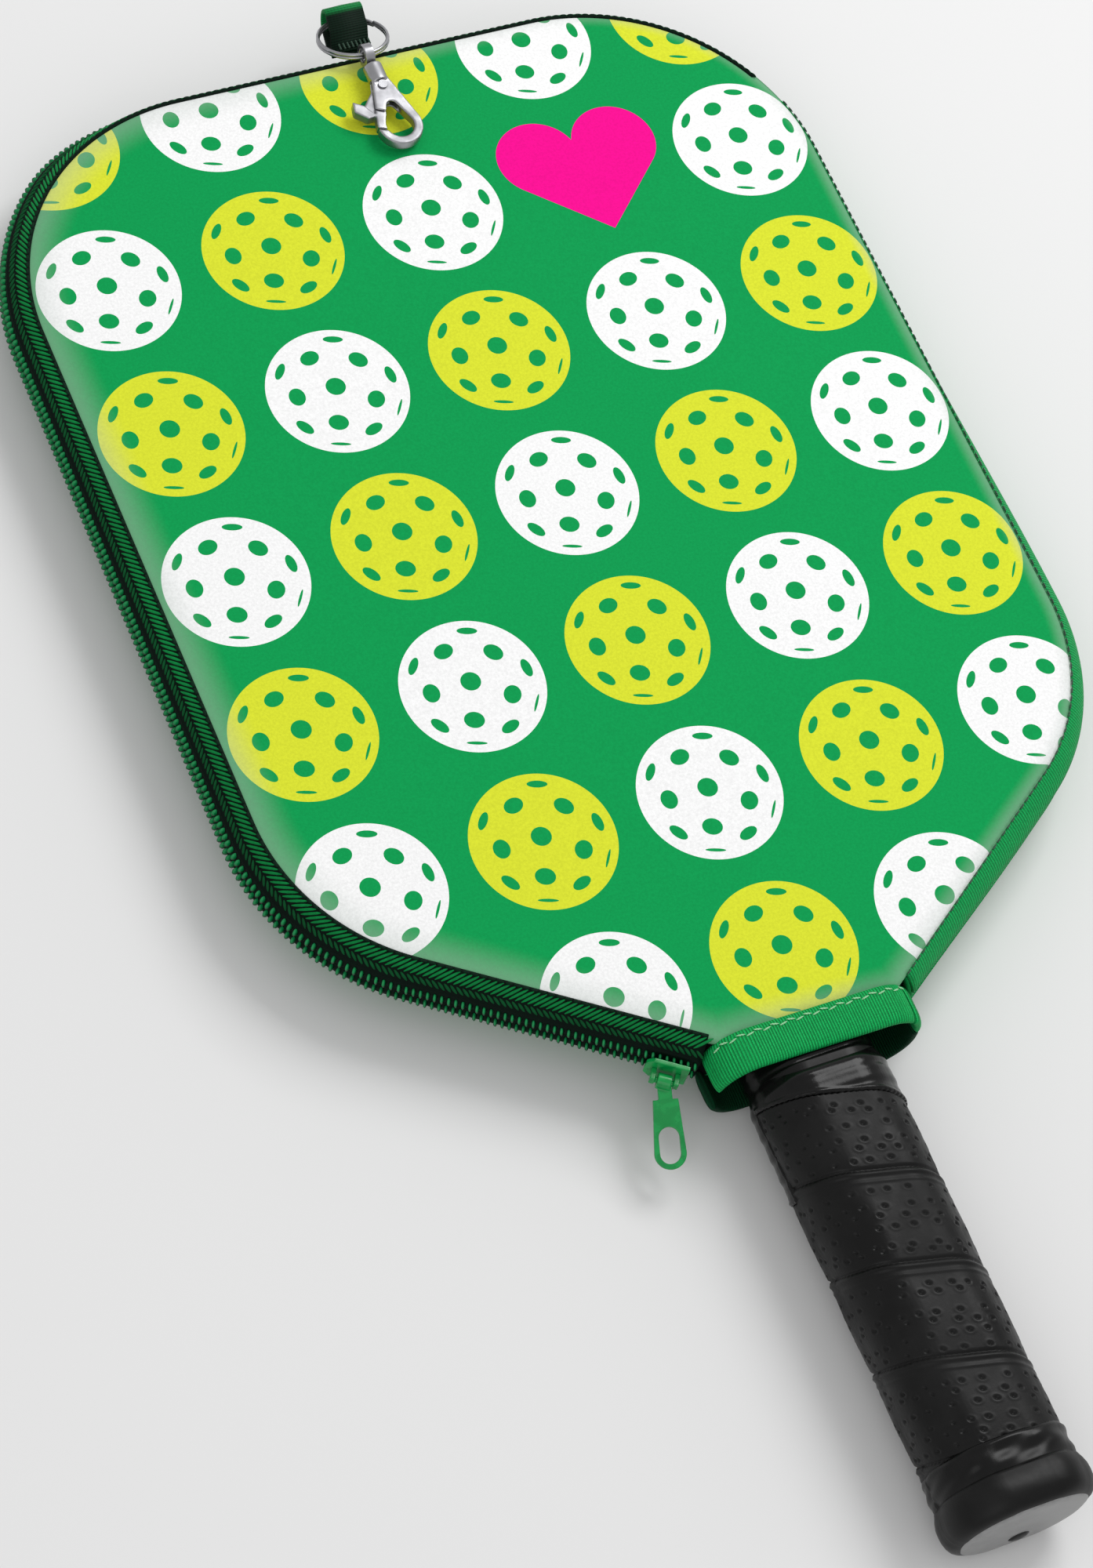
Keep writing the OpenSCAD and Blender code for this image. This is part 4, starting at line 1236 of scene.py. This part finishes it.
def add_handle():
    for name, high_y, low_y, spacing, size_at, height_at, material, slot, node in (
        ("overgrip", grip_high.y + WRAP_RISE, grip_low.y - 0.01, 0.31, grip_size, grip_height,
         "grip", "grip_rubber", "grip_wrap"),
        ("collar", collar_high.y, grip_high.y - COLLAR_UNDER, 0.35, collar_size, collar_height,
         "collar", "collar_rubber", "grip_collar"),
        ("end_tape", grip_low.y + TAPE_LIP, cap_high.y - 0.3, 0.4, grip_size, tape_height,
         "tape", "tape_black", "finishing_tape"),
    ):
        rows = np.arange(high_y, low_y, -spacing)
        piece = handle_piece(name, rows, size_at, height_at, MAT[material])
        finish_piece(piece, "paddle", slot, node)
    add_cap()


# ------------ pieces that keep their CAD shape
# Castings get their soft edges from a fine remesh that is smoothed: material, voxel size, smoothing rounds.
CASTINGS = {
    "slider_body": ("paint", 0.14, 4),
    "slider_bridge": ("paint", 0.12, 3),
    "pull_tab": ("paint", 0.12, 4),
    "swivel_eye": ("nickel", 0.1, 8),
    "hook_frame": ("nickel", 0.12, 70),
    "gate_lever": ("nickel", 0.12, 35),
}
# The rest get a narrow bevel where a radius is given: material, its radius, 0 for none.
BEVELLED = {
    "loop_stitching": ("seam", 0),
    "gate_pin": ("nickel", 0.15),
    "gate_spring": ("steel", 0),
    "paddle_core": ("core", 0),
    "paddle_front_sheet": ("face", 0.1),
    "paddle_back_sheet": ("face", 0.1),
    "edge_guard": ("guard", 0.5),
    "handle_core": ("foam", 0.6),
}


def dress(node, material):
    obj = frame["nodes"][node]
    obj.data.materials.clear()
    obj.data.materials.append(MAT[material])
    return obj


def dress_kept_pieces():
    for node, (material, voxel, rounds) in CASTINGS.items():
        obj = dress(node, material)
        remesh = obj.modifiers.new("fine_mesh", "REMESH")
        remesh.mode = "VOXEL"
        remesh.voxel_size = voxel * MM
        remesh.use_smooth_shade = True
        smooth = obj.modifiers.new("soft_edges", "SMOOTH")
        smooth.factor = 0.5
        smooth.iterations = rounds
    for node, (material, round_r) in BEVELLED.items():
        obj = dress(node, material)
        if round_r:
            bevel = obj.modifiers.new("soft_edges", "BEVEL")
            bevel.width = round_r * MM
            bevel.segments = 3
            bevel.limit_method = "ANGLE"
            bevel.angle_limit = math.radians(35)
            bevel.harden_normals = True


# ------------ floor, light and camera
CAMERA_TARGET = Vector((-29.5, -63.3, 6.5)) * MM
CAMERA_AZIMUTH = -41.3
CAMERA_ELEVATION = 59.27
CAMERA_ROLL = 20.9
CAMERA_DISTANCE = 1.046
CAMERA_LENS = 101.63
FLOOR_GREY = (0.80, 0.80, 0.80)
FLOOR_REACH = 4000.0
SKY_STRENGTH = 0.62


def add_camera():
    flat, rise = polar(CAMERA_ELEVATION)
    cosine, sine = polar(CAMERA_AZIMUTH)
    back = Vector((sine * flat, -cosine * flat, rise))
    level = Vector((cosine, sine, 0))
    cosine, sine = polar(CAMERA_ROLL)
    right = level * cosine + back.cross(level) * sine
    data = bpy.data.cameras.new("camera")
    data.lens = CAMERA_LENS
    data.sensor_width = 36
    data.clip_start = 0.01
    camera = bpy.data.objects.new("camera", data)
    place = Matrix((right, back.cross(right), back)).transposed().to_4x4()
    place.translation = CAMERA_TARGET + back * CAMERA_DISTANCE
    camera.matrix_world = place
    bpy.context.scene.collection.objects.link(camera)
    bpy.context.scene.camera = camera


def add_light(name, place, power, size):
    data = bpy.data.lights.new(name, "AREA")
    data.energy = power
    data.size = size
    light = bpy.data.objects.new(name, data)
    light.location = place
    light.rotation_euler = (-Vector(place)).to_track_quat("-Z", "Y").to_euler()
    bpy.context.scene.collection.objects.link(light)


def add_floor():
    """A pale floor that touches the back panel's top end and the butt cap's lower edge."""
    s = Shader("pale_floor", roughness=0.9, specular=0.1)
    s.colour(FLOOR_GREY)
    slope = cap_low.z / (cap_low.y - TOP_Y)
    corners = [[x, y, slope * (y - TOP_Y) - 0.05]
               for x, y in FLOOR_REACH * np.array([(-1, -1), (1, -1), (1, 1), (-1, 1)])]
    new_object("floor", corners, [(0, 1, 2, 3)], s.material)


def add_world():
    world = bpy.data.worlds.new("studio")
    world.use_nodes = True
    sky = world.node_tree.nodes["Background"].inputs
    sky["Color"].default_value = rgba((1, 1, 1))
    sky["Strength"].default_value = SKY_STRENGTH
    bpy.context.scene.world = world


add_panels()
add_zipper()
add_gusset()
add_neck()
add_loop()
add_ring()
add_handle()
dress_kept_pieces()
add_floor()
add_world()
add_light("key", (0.75, 0.45, 1.1), 10, 0.7)
add_light("fill", (-0.6, -0.9, 0.9), 2, 0.8)
add_camera()
bpy.context.scene.view_settings.view_transform = "Standard"
